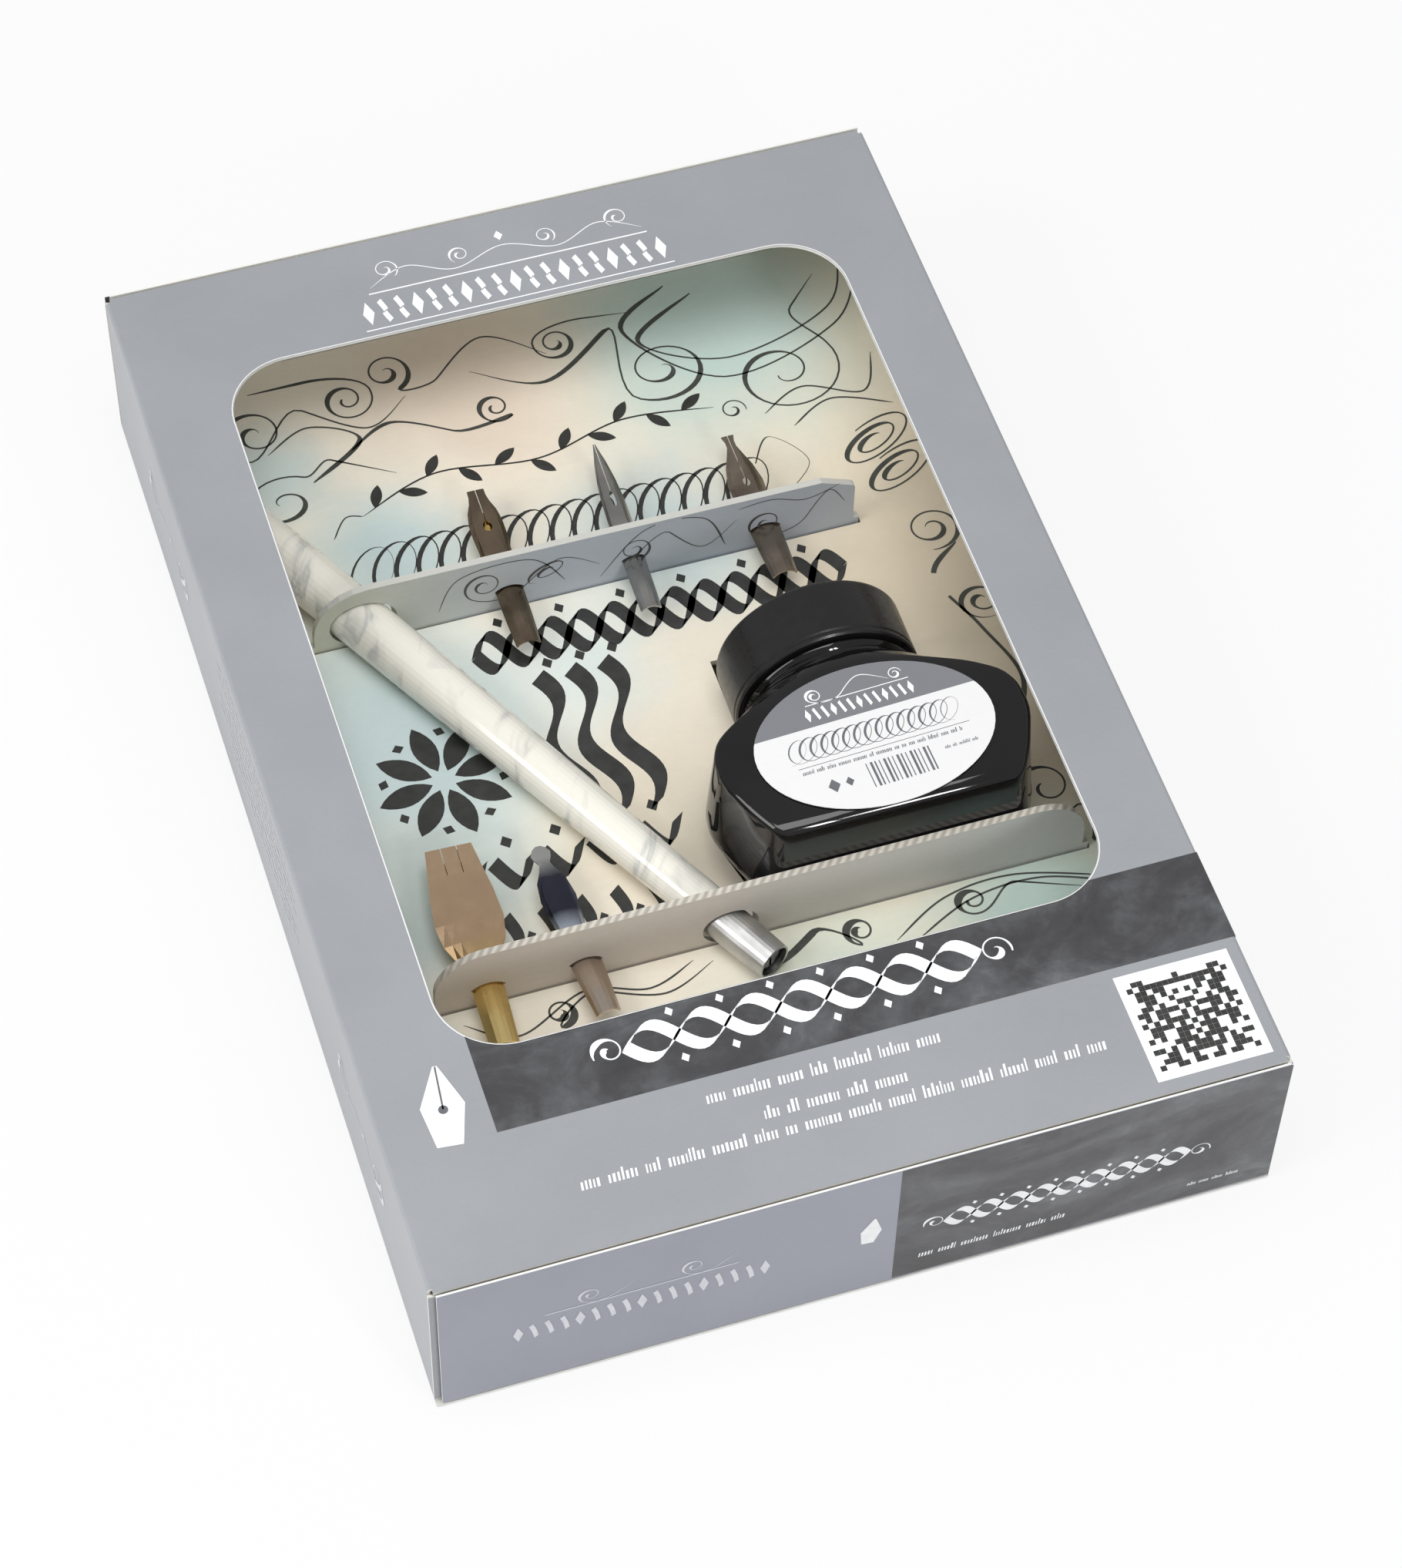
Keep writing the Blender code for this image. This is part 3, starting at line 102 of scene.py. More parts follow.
class Paint:
    """A Principled material being put together."""

    def __init__(self, name, colour=(200, 200, 200), **sockets):
        self.material = bpy.data.materials.new(name)
        self.material.use_nodes = True
        self.tree = self.material.node_tree
        self.shader = self.tree.nodes["Principled BSDF"]
        self.shader.inputs["Base Color"].default_value = linear(*colour)
        for key, value in sockets.items():
            self.shader.inputs[key.replace("_", " ").title()].default_value = value
        self.where = self.tree.nodes.new("ShaderNodeTexCoord").outputs["Object"]

    def node(self, kind, inputs=(), **settings):
        made = self.tree.nodes.new("ShaderNode" + kind)
        for key, value in settings.items():
            setattr(made, key, value)
        for key, value in dict(inputs).items():
            if isinstance(value, bpy.types.NodeSocket):
                self.tree.links.new(value, made.inputs[key])
            else:
                made.inputs[key].default_value = value
        return made

    def stretched(self, scale, turn=0.0, where=None):
        """The object's own places, scaled and then turned about Z."""
        inputs = {"Vector": where or self.where, "Scale": scale, "Rotation": (0.0, 0.0, turn)}
        return self.node("Mapping", inputs).outputs["Vector"]

    def noise(self, scale, detail=4.0, rough=0.5, twist=0.0, where=None):
        inputs = {
            "Vector": where or self.where, "Scale": scale, "Detail": detail,
            "Roughness": rough, "Distortion": twist,
        }
        return self.node("TexNoise", inputs).outputs["Fac"]

    def ramp(self, value, stops):
        made = self.node("ValToRGB", {"Fac": value})
        ramp = made.color_ramp
        while len(ramp.elements) < len(stops):
            ramp.elements.new(0.5)
        for element, (at, colour) in zip(ramp.elements, stops):
            element.position = at
            element.color = colour if len(colour) == 4 else linear(*colour)
        return made.outputs["Color"]

    def grey_ramp(self, value, *stops):
        return self.ramp(value, [(at, (tone, tone, tone, 1.0)) for at, tone in stops])

    def mix(self, share, first, second, blend="MIX"):
        made = self.node("Mix", data_type="RGBA", blend_type=blend)
        for socket, value in ((made.inputs[0], share), (made.inputs[6], first),
                              (made.inputs[7], second)):
            if isinstance(value, bpy.types.NodeSocket):
                self.tree.links.new(value, socket)
            elif isinstance(value, tuple) and len(value) == 3:
                socket.default_value = linear(*value)
            else:
                socket.default_value = value
        return made.outputs[2]

    def maths(self, operation, first, second):
        return self.node("Math", {0: first, 1: second}, operation=operation).outputs["Value"]

    def blend(self, first, second, share=0.5):
        """Two values added up, the first by this share and the second by the rest."""
        return self.maths("ADD", self.maths("MULTIPLY", first, share),
                          self.maths("MULTIPLY", second, 1.0 - share))

    def between(self, value, low, high, **settings):
        """The value's way from low to high, from 0 to 1."""
        limits = {"Value": value, "From Min": low, "From Max": high}
        return self.node("MapRange", limits, **settings).outputs["Result"]

    def axis(self, letter):
        return self.node("SeparateXYZ", {"Vector": self.where}).outputs[letter]

    def facing(self, letter):
        """How far the surface faces along an axis of the object, from -1 to 1."""
        normal = self.node("TexCoord").outputs["Normal"]
        return self.node("SeparateXYZ", {"Vector": normal}).outputs[letter]

    def set(self, socket, value):
        self.tree.links.new(value, self.shader.inputs[socket])

    def tint(self, value, stops):
        self.set("Base Color", self.ramp(value, stops))

    def bump(self, height, distance, strength):
        made = self.node("Bump", {"Height": height, "Distance": distance, "Strength": strength})
        self.set("Normal", made.outputs["Normal"])

    def blob(self, centre, radius, soft, wobble):
        """A soft round patch: 1 at its centre, 0 outside, its rim wandering with the noise."""
        away = self.node("VectorMath", {0: self.where, 1: (*centre, 0.0)}, operation="SUBTRACT")
        level = {0: away.outputs["Vector"], 1: (1.0, 1.0, 0.0)}
        flat = self.node("VectorMath", level, operation="MULTIPLY")
        length = self.node("VectorMath", {0: flat.outputs["Vector"]}, operation="LENGTH")
        reach = self.maths("ADD", length.outputs["Value"], wobble)
        return self.between(reach, radius + soft, radius - soft, interpolation_type="SMOOTHSTEP")


def board_fibres(paint, base, spread, depth, strength, scale=900.0):
    """Lays the mottling and short fibres of paper board over a base colour."""
    speck = paint.noise(scale, 6.0, 0.65)
    fibre = paint.noise(scale * 0.4, 5.0, 0.6, 0.4, paint.stretched((1.0, 3.5, 3.5)))
    tone = paint.blend(speck, fibre)
    shade = paint.grey_ramp(tone, (0.30, 1.0 - spread), (0.70, 1.0))
    paint.set("Base Color", paint.mix(1.0, base, shade, "MULTIPLY"))
    paint.bump(tone, depth, strength)
    return paint.material


def carton_print(name, dark, light):
    """Grey print under a thin varnish, a little cloudy."""
    paint = Paint(name, light, roughness=0.42, coat_weight=0.25, coat_roughness=0.35)
    cloud = paint.noise(38.0, 3.0, 0.5)
    base = paint.ramp(cloud, [(0.30, dark), (0.70, light)])
    return board_fibres(paint, base, 0.05, 0.00002, 0.35, 1400.0)


def plain_board(name, colour):
    """Bare board, with clouds that are a little darker than its colour."""
    paint = Paint(name, colour, roughness=0.75)
    cloud = paint.noise(60.0, 3.0)
    darker = tuple(value - 9 for value in colour)
    base = paint.ramp(cloud, [(0.3, darker), (0.7, colour)])
    return board_fibres(paint, base, 0.10, 0.00004, 0.5)


def two_sided_board(name, side):
    """Printed on the face that looks out of its end, plain board on the other and on its edges."""
    paint = Paint(name, FLAP_PRINT, roughness=0.5)
    outward = paint.maths("MULTIPLY", paint.facing("Y"), side)
    printed = paint.maths("GREATER_THAN", outward, 0.5)
    return board_fibres(paint, paint.mix(printed, BOARD_WHITE, FLAP_PRINT), 0.08, 0.00004, 0.5)


# Each patch of wash on the platform: its centre, radius, softness and tint
CARD_BLOBS = (
    ((-0.030, 0.052), 0.013, 0.010, (206, 224, 223)),
    ((-0.047, 0.073), 0.010, 0.008, (205, 218, 214)),
    ((0.034, 0.084), 0.024, 0.016, (192, 212, 206)),
    ((0.012, 0.040), 0.016, 0.012, (203, 216, 214)),
    ((-0.040, 0.012), 0.024, 0.015, (208, 225, 225)),
    ((-0.046, -0.020), 0.016, 0.012, (201, 214, 210)),
    ((-0.008, 0.020), 0.011, 0.010, (222, 231, 226)),
    ((0.050, -0.052), 0.020, 0.014, (176, 196, 188)),
    ((0.014, -0.056), 0.015, 0.012, (214, 226, 212)),
    ((0.056, 0.020), 0.022, 0.016, (204, 192, 170)),
    ((-0.002, -0.014), 0.016, 0.012, (230, 220, 200)),
    ((-0.010, 0.082), 0.018, 0.014, (230, 214, 196)),
)


def card_print():
    """Cream board with watercolour patches, tan towards the right."""
    paint = Paint("card_print", (230, 222, 204), roughness=0.6)
    wander = paint.noise(42.0, 5.0, 0.6, 0.6)
    wobble = paint.maths("MULTIPLY", paint.maths("SUBTRACT", wander, 0.5), 0.022)
    across = paint.between(paint.axis("X"), -0.02, 0.06)
    colour = paint.mix(across, (246, 238, 221), (234, 222, 199))
    for centre, radius, soft, tint in CARD_BLOBS:
        colour = paint.mix(paint.blob(centre, radius, soft, wobble), colour, tint)
    return board_fibres(paint, colour, 0.05, 0.00003, 0.4)


def cradle_board():
    """Board whose two walls differ in tint. The lower one's cut edge shows flutes as stripes."""
    paint = Paint("cradle_board", (176, 172, 165), roughness=0.7)
    along = paint.between(paint.axis("X"), -0.05, 0.055)
    lower = paint.ramp(along, [
        (0.0, (226, 216, 204)), (0.45, (222, 214, 206)), (0.75, (214, 212, 208)),
        (1.0, (206, 207, 205)),
    ])
    upper = paint.ramp(along, [
        (0.0, (200, 200, 180)), (0.16, (194, 197, 190)), (0.40, (178, 185, 193)),
        (0.8, (172, 179, 188)), (1.0, (170, 177, 180)),
    ])
    which = paint.maths("GREATER_THAN", paint.axis("Y"), 0.0)
    colour = paint.mix(which, lower, upper)
    slant = paint.stretched((1.0, 1.0, 1.0), 0.7)
    inputs = {"Vector": slant, "Scale": 260.0, "Distortion": 1.5, "Detail": 2.0}
    flutes = paint.node("TexWave", inputs, bands_direction="X").outputs["Fac"]
    lower_edge = paint.mix(flutes, (170, 163, 152), (212, 208, 198))
    edge = paint.maths("GREATER_THAN", paint.facing("Z"), 0.6)
    colour = paint.mix(edge, colour, paint.mix(which, lower_edge, (196, 196, 190)))
    return board_fibres(paint, colour, 0.07, 0.00004, 0.5)


def ink(name, colour):
    """Printed ink, a little uneven."""
    paint = Paint(name, colour, roughness=0.45)
    cloud = paint.noise(400.0, 4.0, 0.6)
    lighter = tuple(min(255, value + 16) for value in colour)
    paint.tint(cloud, [(0.35, colour), (0.75, lighter)])
    return paint.material


def watercolour_band(name):
    """The dark washed band: blotches from near black to mid grey."""
    paint = Paint(name, (90, 90, 92), roughness=0.42, coat_weight=0.25, coat_roughness=0.35)
    wide = paint.noise(30.0, 6.0, 0.62, 1.2, paint.stretched((1.0, 1.8, 1.8)))
    fine = paint.noise(190.0, 6.0, 0.7, 0.4)
    paint.tint(paint.blend(wide, fine, 0.75), [
        (0.34, (46, 46, 48)), (0.46, (62, 62, 65)), (0.56, (84, 85, 88)), (0.72, (122, 124, 128)),
    ])
    return paint.material


def lacquer():
    """Cream lacquer with grey wisps."""
    paint = Paint("lacquer", (236, 234, 224), roughness=0.22, coat_weight=0.6, coat_roughness=0.08)
    along = paint.stretched((1.0, 1.0, 1.0), math.radians(28.0))
    wisp = paint.noise(62.0, 3.0, 0.5, 1.3, paint.stretched((2.2, 0.8, 1.0), where=along))
    paint.tint(wisp, [
        (0.52, (238, 235, 224)), (0.60, (228, 226, 216)), (0.66, (196, 197, 192)),
        (0.71, (226, 224, 214)), (0.80, (240, 237, 227)),
    ])
    return paint.material


def dress(node, material):
    slots = NODES[node].data.materials
    slots.clear()
    slots.append(material)


def worked(paint, roughness, smudges, scratches):
    """Smudged gloss and fine drawn lines on sheet metal."""
    smudge = paint.noise(smudges, 4.0, 0.55)
    paint.set("Roughness", paint.grey_ramp(smudge, (0.3, roughness * 0.8), (0.7, roughness * 1.2)))
    drawn = paint.noise(1500.0, 3.0, 0.6, 0.0, paint.stretched((4.0, 0.25, 1.0)))
    paint.bump(drawn, 0.00001, scratches)
    return paint.material


def metal(name, dark, light, roughness):
    """Sheet metal of one tint that drifts a little."""
    paint = Paint(name, light, metallic=1.0, roughness=roughness)
    cloud = paint.noise(150.0, 3.0, 0.5, 0.4)
    paint.tint(cloud, [(0.25, dark), (0.75, light)])
    return worked(paint, roughness, 330.0, 0.06)


def tinted_nib(node, name, roughness, stops):
    """Dresses a nib in metal whose tint changes from its shank, at 0, to its tip, at 1."""
    paint = Paint(name, stops[-1][1], metallic=1.0, roughness=roughness)
    low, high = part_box(node)
    cloud = paint.maths("MULTIPLY", paint.noise(160.0, 3.0, 0.5, 0.4), 0.08)
    paint.tint(paint.maths("ADD", paint.between(paint.axis("Y"), low.y, high.y), cloud), stops)
    dress(node, worked(paint, roughness, 240.0, 0.05))


def glass_ink():
    """Clear glass that black ink fills: near black under a smooth glossy skin."""
    paint = Paint("glass_ink", (14, 13, 14), roughness=0.05)
    paint.shader.inputs["IOR"].default_value = 1.5
    paint.tint(paint.noise(26.0, 3.0, 0.5, 0.8), [(0.35, (9, 8, 9)), (0.7, (24, 23, 24))])
    paint.bump(paint.noise(60.0, 2.0, 0.5), 0.0004, 0.10)
    return paint.material


def cap_plastic():
    """Black plastic with a fine grain."""
    paint = Paint("cap_plastic", (24, 22, 23), roughness=0.28)
    speck = paint.noise(700.0, 4.0, 0.6)
    paint.set("Roughness", paint.grey_ramp(speck, (0.3, 0.24), (0.7, 0.36)))
    paint.bump(speck, 0.00001, 0.15)
    return paint.material


def label_paper():
    """White paper, washed grey towards the cap, with a clean edge between the two."""
    paint = Paint("label_paper", (232, 232, 232), roughness=0.4, coat_weight=0.2)
    slope = math.tan(LABEL_TURN)
    slant = paint.maths("MULTIPLY", paint.axis("X"), slope)
    height = paint.maths("SUBTRACT", paint.axis("Y"), slant)
    split = paint.maths("GREATER_THAN", height, LABEL_SPLIT_Y - LABEL_SPLIT_X * slope)
    colour = paint.mix(split, (232, 232, 233), (124, 125, 130))
    return board_fibres(paint, colour, 0.03, 0.00001, 0.2, 1500.0)


def added(name, data):
    obj = bpy.data.objects.new(name, data)
    bpy.context.scene.collection.objects.link(obj)
    return obj


def made_mesh(name, bm, material):
    mesh = bpy.data.meshes.new(name)
    bm.to_mesh(mesh)
    bm.free()
    mesh.materials.append(material)
    return mesh


def add_piece(name, mesh, body, node=None):
    """A new piece that rides a body, and stands for a solid where one is named."""
    piece = added(name, mesh)
    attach(piece, body)
    if node:
        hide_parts(node)


PRINT = carton_print("carton_print", (150, 153, 158), (157, 160, 165))
# The ends get a darker, bluer copy of the same carton print: painted shade for end panels that take
# less light than the front
SHADED_END_PRINT = carton_print("end_print_with_painted_shade", (145, 148, 160), (152, 155, 167))
INSIDE = plain_board("inside_board", BOARD_WHITE)
CORE = plain_board("board_core", (240, 240, 238))
WHITE_INK = ink("white_ink", (236, 238, 240))
DARK_INK = ink("dark_ink", (42, 43, 41))
THIN_INK = ink("thin_ink", (58, 60, 56))
GREY_INK = ink("grey_ink", (96, 98, 104))
PALE_INK = ink("pale_ink", (206, 208, 214))
BAND = watercolour_band("watercolour_band")


# Carton skins: the solid boards again, a hair smaller, with each face in its own material


def skin(node, name, body, sort, materials):
    """A copy of a board's own surface set just inside it, so that print can lie on top."""
    low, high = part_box(node)
    middle, half = (low + high) / 2, (high - low) / 2
    mesh = NODES[node].data.copy()
    mesh.materials.clear()
    for material in materials:
        mesh.materials.append(material)
    for vertex in mesh.vertices:
        for axis in range(3):
            away = vertex.co[axis] - middle[axis]
            vertex.co[axis] -= SKIN_INSET * away / half[axis]
    for polygon in mesh.polygons:
        polygon.material_index = sort(polygon.center, polygon.normal)
    add_piece(name, mesh, body, node)


def sleeve_sort(centre, normal):
    """0 printed outside, 1 plain inside, 2 white core at the cut edges."""
    if abs(normal.y) > 0.7:
        return 2
    near_front = abs(centre.z - FRONT_Z) < 3 * BOARD
    if near_front and abs(normal.z) < 0.5 and abs(centre.x) < SLEEVE_HIGH.x - 3 * BOARD:
        return 2
    outward = Vector((centre.x, 0, centre.z - FRONT_Z / 2))
    skin_deep = BOARD * 0.6
    outer = (
        centre.z > FRONT_Z - skin_deep or centre.z < skin_deep
        or abs(centre.x) > SLEEVE_HIGH.x - skin_deep
    )
    return 0 if outer and normal.dot(outward) > 0 else 1


def closure_sort(side):
    """The same three sorts on an end panel that faces this side along Y."""
    def sort(centre, normal):
        if abs(normal.y) < 0.5:
            return 2
        return 0 if normal.y * side > 0 else 1
    return sort


skin("carton_sleeve", "printed_sleeve", "carton", sleeve_sort, (PRINT, INSIDE, CORE))
for word, side in (("bottom", -1), ("top", 1)):
    skin(f"{word}_closure", f"printed_{word}_closure", f"{word}_closure", closure_sort(side),
         (SHADED_END_PRINT, INSIDE, CORE))
    dress(f"{word}_tuck_tab", plain_board(f"{word}_tuck_board", BOARD_WHITE))
    for place in ("left", "right"):
        dress(f"{word}_{place}_dust_flap", two_sided_board(f"{word}_{place}_flap_board", side))

dress("display_card", card_print())
dress("cradle", cradle_board())
dress("holder_body", lacquer())
for node, name, dark, light, roughness in (
    ("holder_ferrule", "satin_aluminium", (170, 170, 170), (205, 205, 203), 0.42),
    ("nib_grip", "grip_steel", (96, 96, 98), (140, 140, 142), 0.4),
    ("nib_stub", "bronze_nib", (112, 98, 84), (150, 134, 114), 0.24),
    ("nib_pointed", "steel_nib", (150, 149, 146), (186, 184, 180), 0.24),
    ("nib_flared", "taupe_nib", (120, 109, 98), (160, 148, 134), 0.24),
):
    dress(node, metal(name, dark, light, roughness))
tinted_nib("nib_poster", "copper_nib", 0.26, [
    (0.06, (242, 216, 148)), (0.40, (240, 210, 140)), (0.50, (216, 184, 136)),
    (0.60, (204, 174, 142)), (0.95, (214, 184, 152)),
])
# The pale stop at 0.56 is a painted highlight, a broad silver sheen at the nib's neck; the other
# stops are the metal's own tints
tinted_nib("nib_disc", "blued_nib_and_painted_highlight", 0.24, [
    (0.30, (196, 182, 168)), (0.46, (140, 134, 130)), (0.56, (190, 198, 212)),
    (0.66, (66, 68, 82)), (0.86, (70, 72, 84)), (0.96, (196, 196, 194)),
])
for node in ("stub_reservoir", "poster_under_plate", "disc_reservoir"):
    dress(node, metal(f"{node}_brass", (206, 168, 92), (238, 206, 126), 0.24))
dress("ink_bottle", glass_ink())
dress("bottle_cap", cap_plastic())
dress("cap_liner", plain_board("liner_board", (215, 212, 204)))
dress("bottle_label", label_paper())

for node in NODES.values():
    node.data.shade_smooth()
    node.data.set_sharp_from_angle(angle=SMOOTH_ANGLE)


# Finer bottle and cap, on the sizes of the solid ones

BOTTLE_X, AXIS_Z, BASE_Y = 0.0272, 0.01665, BOTTLE_LOW.y
HALF_WIDE, HALF_DEEP = (BOTTLE_HIGH.x - BOTTLE_LOW.x) / 2, BOTTLE_HIGH.z - AXIS_Z
BODY_HEIGHT = 0.0323
# Height, the front's and the middle's shares of the half width, the depth's, and roundness
BODY_ROWS = (
    (0.0000, 0.691, 0.766, 0.833, 0.00),
    (0.0124, 0.729, 0.796, 0.921, 0.00),
    (0.0402, 0.766, 0.825, 0.978, 0.00),
    (0.0805, 0.796, 0.855, 1.000, 0.00),
    (0.2322, 0.885, 0.937, 1.000, 0.00),
    (0.4334, 0.955, 1.000, 1.000, 0.00),
    (0.5263, 0.948, 0.989, 1.000, 0.05),
    (0.6192, 0.903, 0.952, 1.000, 0.15),
    (0.7214, 0.744, 0.885, 0.997, 0.40),
    (0.8142, 0.513, 0.814, 0.984, 0.60),
    (0.8947, 0.297, 0.732, 0.959, 0.80),
    (0.9567, 0.149, 0.639, 0.921, 0.95),
    (1.0000, 0.037, 0.558, 0.883, 1.00),
)
BACK_NARROWER = 0.80
EDGE_ROUND = 0.0012
ROW_STEPS = 4
EDGE_STEPS = 6
SIDE_STEPS = 12
ROUND_STEPS = 128
# Radius and height in millimetres, from the foot of the collar over the mouth to its floor
NECK_PROFILE = (
    (14.0, 31.1), (14.1, 33.0), (14.6, 33.4), (14.8, 33.85), (14.6, 34.3), (12.6, 34.5),
    (12.4, 35.0), (12.4, 42.7), (12.0, 43.1), (10.2, 43.1), (9.8, 42.7), (9.8, 30.0),
    (4.0, 29.8), (0.2, 29.8),
)
THREAD_START = 0.0359
THREAD_PITCH = 0.0035
THREAD_TURNS = 1.5
THREAD_ROOT = 0.0118
THREAD_VALLEY = 0.0121
THREAD_RISE = 0.0009
THREAD_HALF_FOOT = 0.00065
THREAD_HALF_CREST = 0.00033
THREAD_STEPS = 72
CAP_SLACK = 0.00002
CAP_EDGE = 0.0012
CAP_EDGE_STEPS = 7
CAP_BORE = 0.0134
CAP_TOP_WALL = 0.0014
CAP_CENTRE = 0.0002
CAP_GROOVE = 0.00018
CAP_SHARP_ANGLE = math.radians(40.0)


def eased_rows():
    """The rows with three more between each two, on a curve that never overshoots."""
    known = [BODY_ROWS[0], *BODY_ROWS, BODY_ROWS[-1]]
    rows = []
    for before, low, high, after in zip(known, known[1:], known[2:], known[3:]):
        span = high[0] - low[0]
        for step in range(ROW_STEPS):
            t = step / ROW_STEPS
            row = [low[0] + span * t]
            for k in range(1, 5):
                start, end = slope(k, before, low, high), slope(k, low, high, after)
                row.append(
                    (1 + 2 * t) * (1 - t) ** 2 * low[k] + t * (1 - t) ** 2 * span * start
                    + t * t * (3 - 2 * t) * high[k] + t * t * (t - 1) * span * end
                )
            rows.append(tuple(row))
    return [*rows, BODY_ROWS[-1]]


def slope(k, before, row, after):
    """How steeply the k-th value of a row changes with height, given the rows beside it."""
    if row[0] <= before[0] or after[0] <= row[0]:
        return (after[k] - before[k]) / (after[0] - before[0])
    first = (row[k] - before[k]) / (row[0] - before[0])
    second = (after[k] - row[k]) / (after[0] - row[0])
    return 0.0 if first * second <= 0 else 2 * first * second / (first + second)


def quarter(face, middle, depth, roundness):
    """From the middle of a face, over its rounded edge, to the side."""
    edge = EDGE_ROUND * (1 - roundness)
    points = [(0.0, depth), (0.5 * (face - edge), depth),
              *arc(face - edge, depth - edge, edge, math.pi / 2, -math.pi / 2, EDGE_STEPS)]
    for step in range(1, SIDE_STEPS + 1):
        share = step / SIDE_STEPS
        angle = math.pi / 2 * share
        out = share + (math.sin(angle) - share) * roundness
        up = (1 - share) * (1 - roundness) + math.cos(angle) * roundness
        points.append((face + (middle - face) * out, (depth - edge) * up))
    return points


def body_ring(row):
    """One level of the body: the front half, and a narrower back half, from right round to left."""
    height, front, middle, depth, roundness = row
    narrowing = BACK_NARROWER + (1 - BACK_NARROWER) * roundness
    over = quarter(front * HALF_WIDE, middle * HALF_WIDE, depth * HALF_DEEP, roundness)
    under = quarter(front * HALF_WIDE * narrowing, middle * HALF_WIDE, depth * HALF_DEEP, roundness)
    right = over + [(x, -z) for x, z in under][-2::-1]
    left = [(-x, z) for x, z in right[-2:0:-1]]
    return [Vector((BOTTLE_X + x, BASE_Y + BODY_HEIGHT * height, AXIS_Z + z))
            for x, z in right + left]


def skinned(bm, rings):
    """Closed rings of points, joined one to the next by quads."""
    made = [[bm.verts.new(point) for point in ring] for ring in rings]
    for low, high in zip(made, made[1:]):
        for quad in zip(low, low[1:] + low[:1], high[1:] + high[:1], high):
            bm.faces.new(quad)
    return made


def round_point(radius, height, angle):
    """A point about the bottle's axis, at a height over its base."""
    return Vector((BOTTLE_X + radius * math.cos(angle), BASE_Y + height,
                   AXIS_Z + radius * math.sin(angle)))


def turned(bm, profile):
    """A profile of radii and heights, turned about the bottle's axis."""
    angles = [2 * math.pi * step / ROUND_STEPS for step in range(ROUND_STEPS)]
    skinned(bm, [[round_point(radius, height, angle) for angle in angles]
                 for radius, height in profile])


def smooth_piece(name, bm, node, material, sharp):
    """A finished mesh that stands for the solid of the same body."""
    bmesh.ops.recalc_face_normals(bm, faces=bm.faces)
    mesh = made_mesh(name, bm, material)
    mesh.shade_smooth()
    mesh.set_sharp_from_angle(angle=sharp)
    add_piece(name, mesh, node, node)


def thread_ring(share):
    """The thread's section at a share of its length, lower towards both of its ends."""
    angle = -2 * math.pi * THREAD_TURNS * share
    height = THREAD_START + THREAD_PITCH * THREAD_TURNS * share
    crest = THREAD_VALLEY + THREAD_RISE * max(min(1.0, min(share, 1 - share) * 12), 0.5)
    section = (
        (THREAD_ROOT, -THREAD_HALF_FOOT), (crest, -THREAD_HALF_CREST),
        (crest, THREAD_HALF_CREST), (THREAD_ROOT, THREAD_HALF_FOOT),
    )
    return [round_point(radius, height + along, angle) for radius, along in section]


def glass_bottle():
    """The lofted body, the collar, neck and mouth turned on it, and the thread round the neck."""
    bm = bmesh.new()
    rings = skinned(bm, [body_ring(row) for row in eased_rows()])
    bm.faces.new(rings[0])
    turned(bm, [(radius * MM, height * MM) for radius, height in NECK_PROFILE])
    skinned(bm, [thread_ring(step / THREAD_STEPS) for step in range(THREAD_STEPS + 1)])
    smooth_piece("glass_bottle", bm, "ink_bottle", glass_ink(), SMOOTH_ANGLE)


def screw_cap():
    """A smooth cap with a soft edge at its top, and a groove over its rim."""
    bm = bmesh.new()
    low, high = CAP_LOW.y - BASE_Y, CAP_HIGH.y - BASE_Y
    radius = (CAP_HIGH.x - CAP_LOW.x) / 2 - CAP_SLACK
    turned(bm, [
        (CAP_CENTRE, high - 0.00025), (0.6 * radius, high - 0.0002),
        (radius - CAP_EDGE - 0.0002, high),
        *arc(radius - CAP_EDGE, high - CAP_EDGE, CAP_EDGE, math.pi / 2, -math.pi / 2,
             CAP_EDGE_STEPS)[1:],
        (radius, low + 0.0014), (radius - CAP_GROOVE, low + 0.0012),
        (radius - CAP_GROOVE, low + 0.0009), (radius, low + 0.0007), (radius, low + 0.0003),
        (radius - 0.0003, low), (CAP_BORE, low), (CAP_BORE, high - CAP_TOP_WALL),
        (CAP_CENTRE, high - CAP_TOP_WALL),
    ])
    smooth_piece("satin_cap", bm, "bottle_cap", cap_plastic(), CAP_SHARP_ANGLE)


# Drawn lines: thin strips that lie on a flat place of the box. Places are in millimetres

LOOP_STEPS = 28
SPIRAL_STEPS = 34
WAVE_STEPS = 20
LEAF_STEPS = 8
BRIDGE_STEPS = 10


class Plane:
    """A flat place: its origin, and which way its own x and y run. It faces x cross y."""

    def __init__(self, origin, right, up):
        self.origin, self.right, self.up = Vector(origin), Vector(right), Vector(up)
        self.normal = self.right.cross(self.up)

    def at(self, x, y):
        return self.origin + (self.right * x + self.up * y) * MM


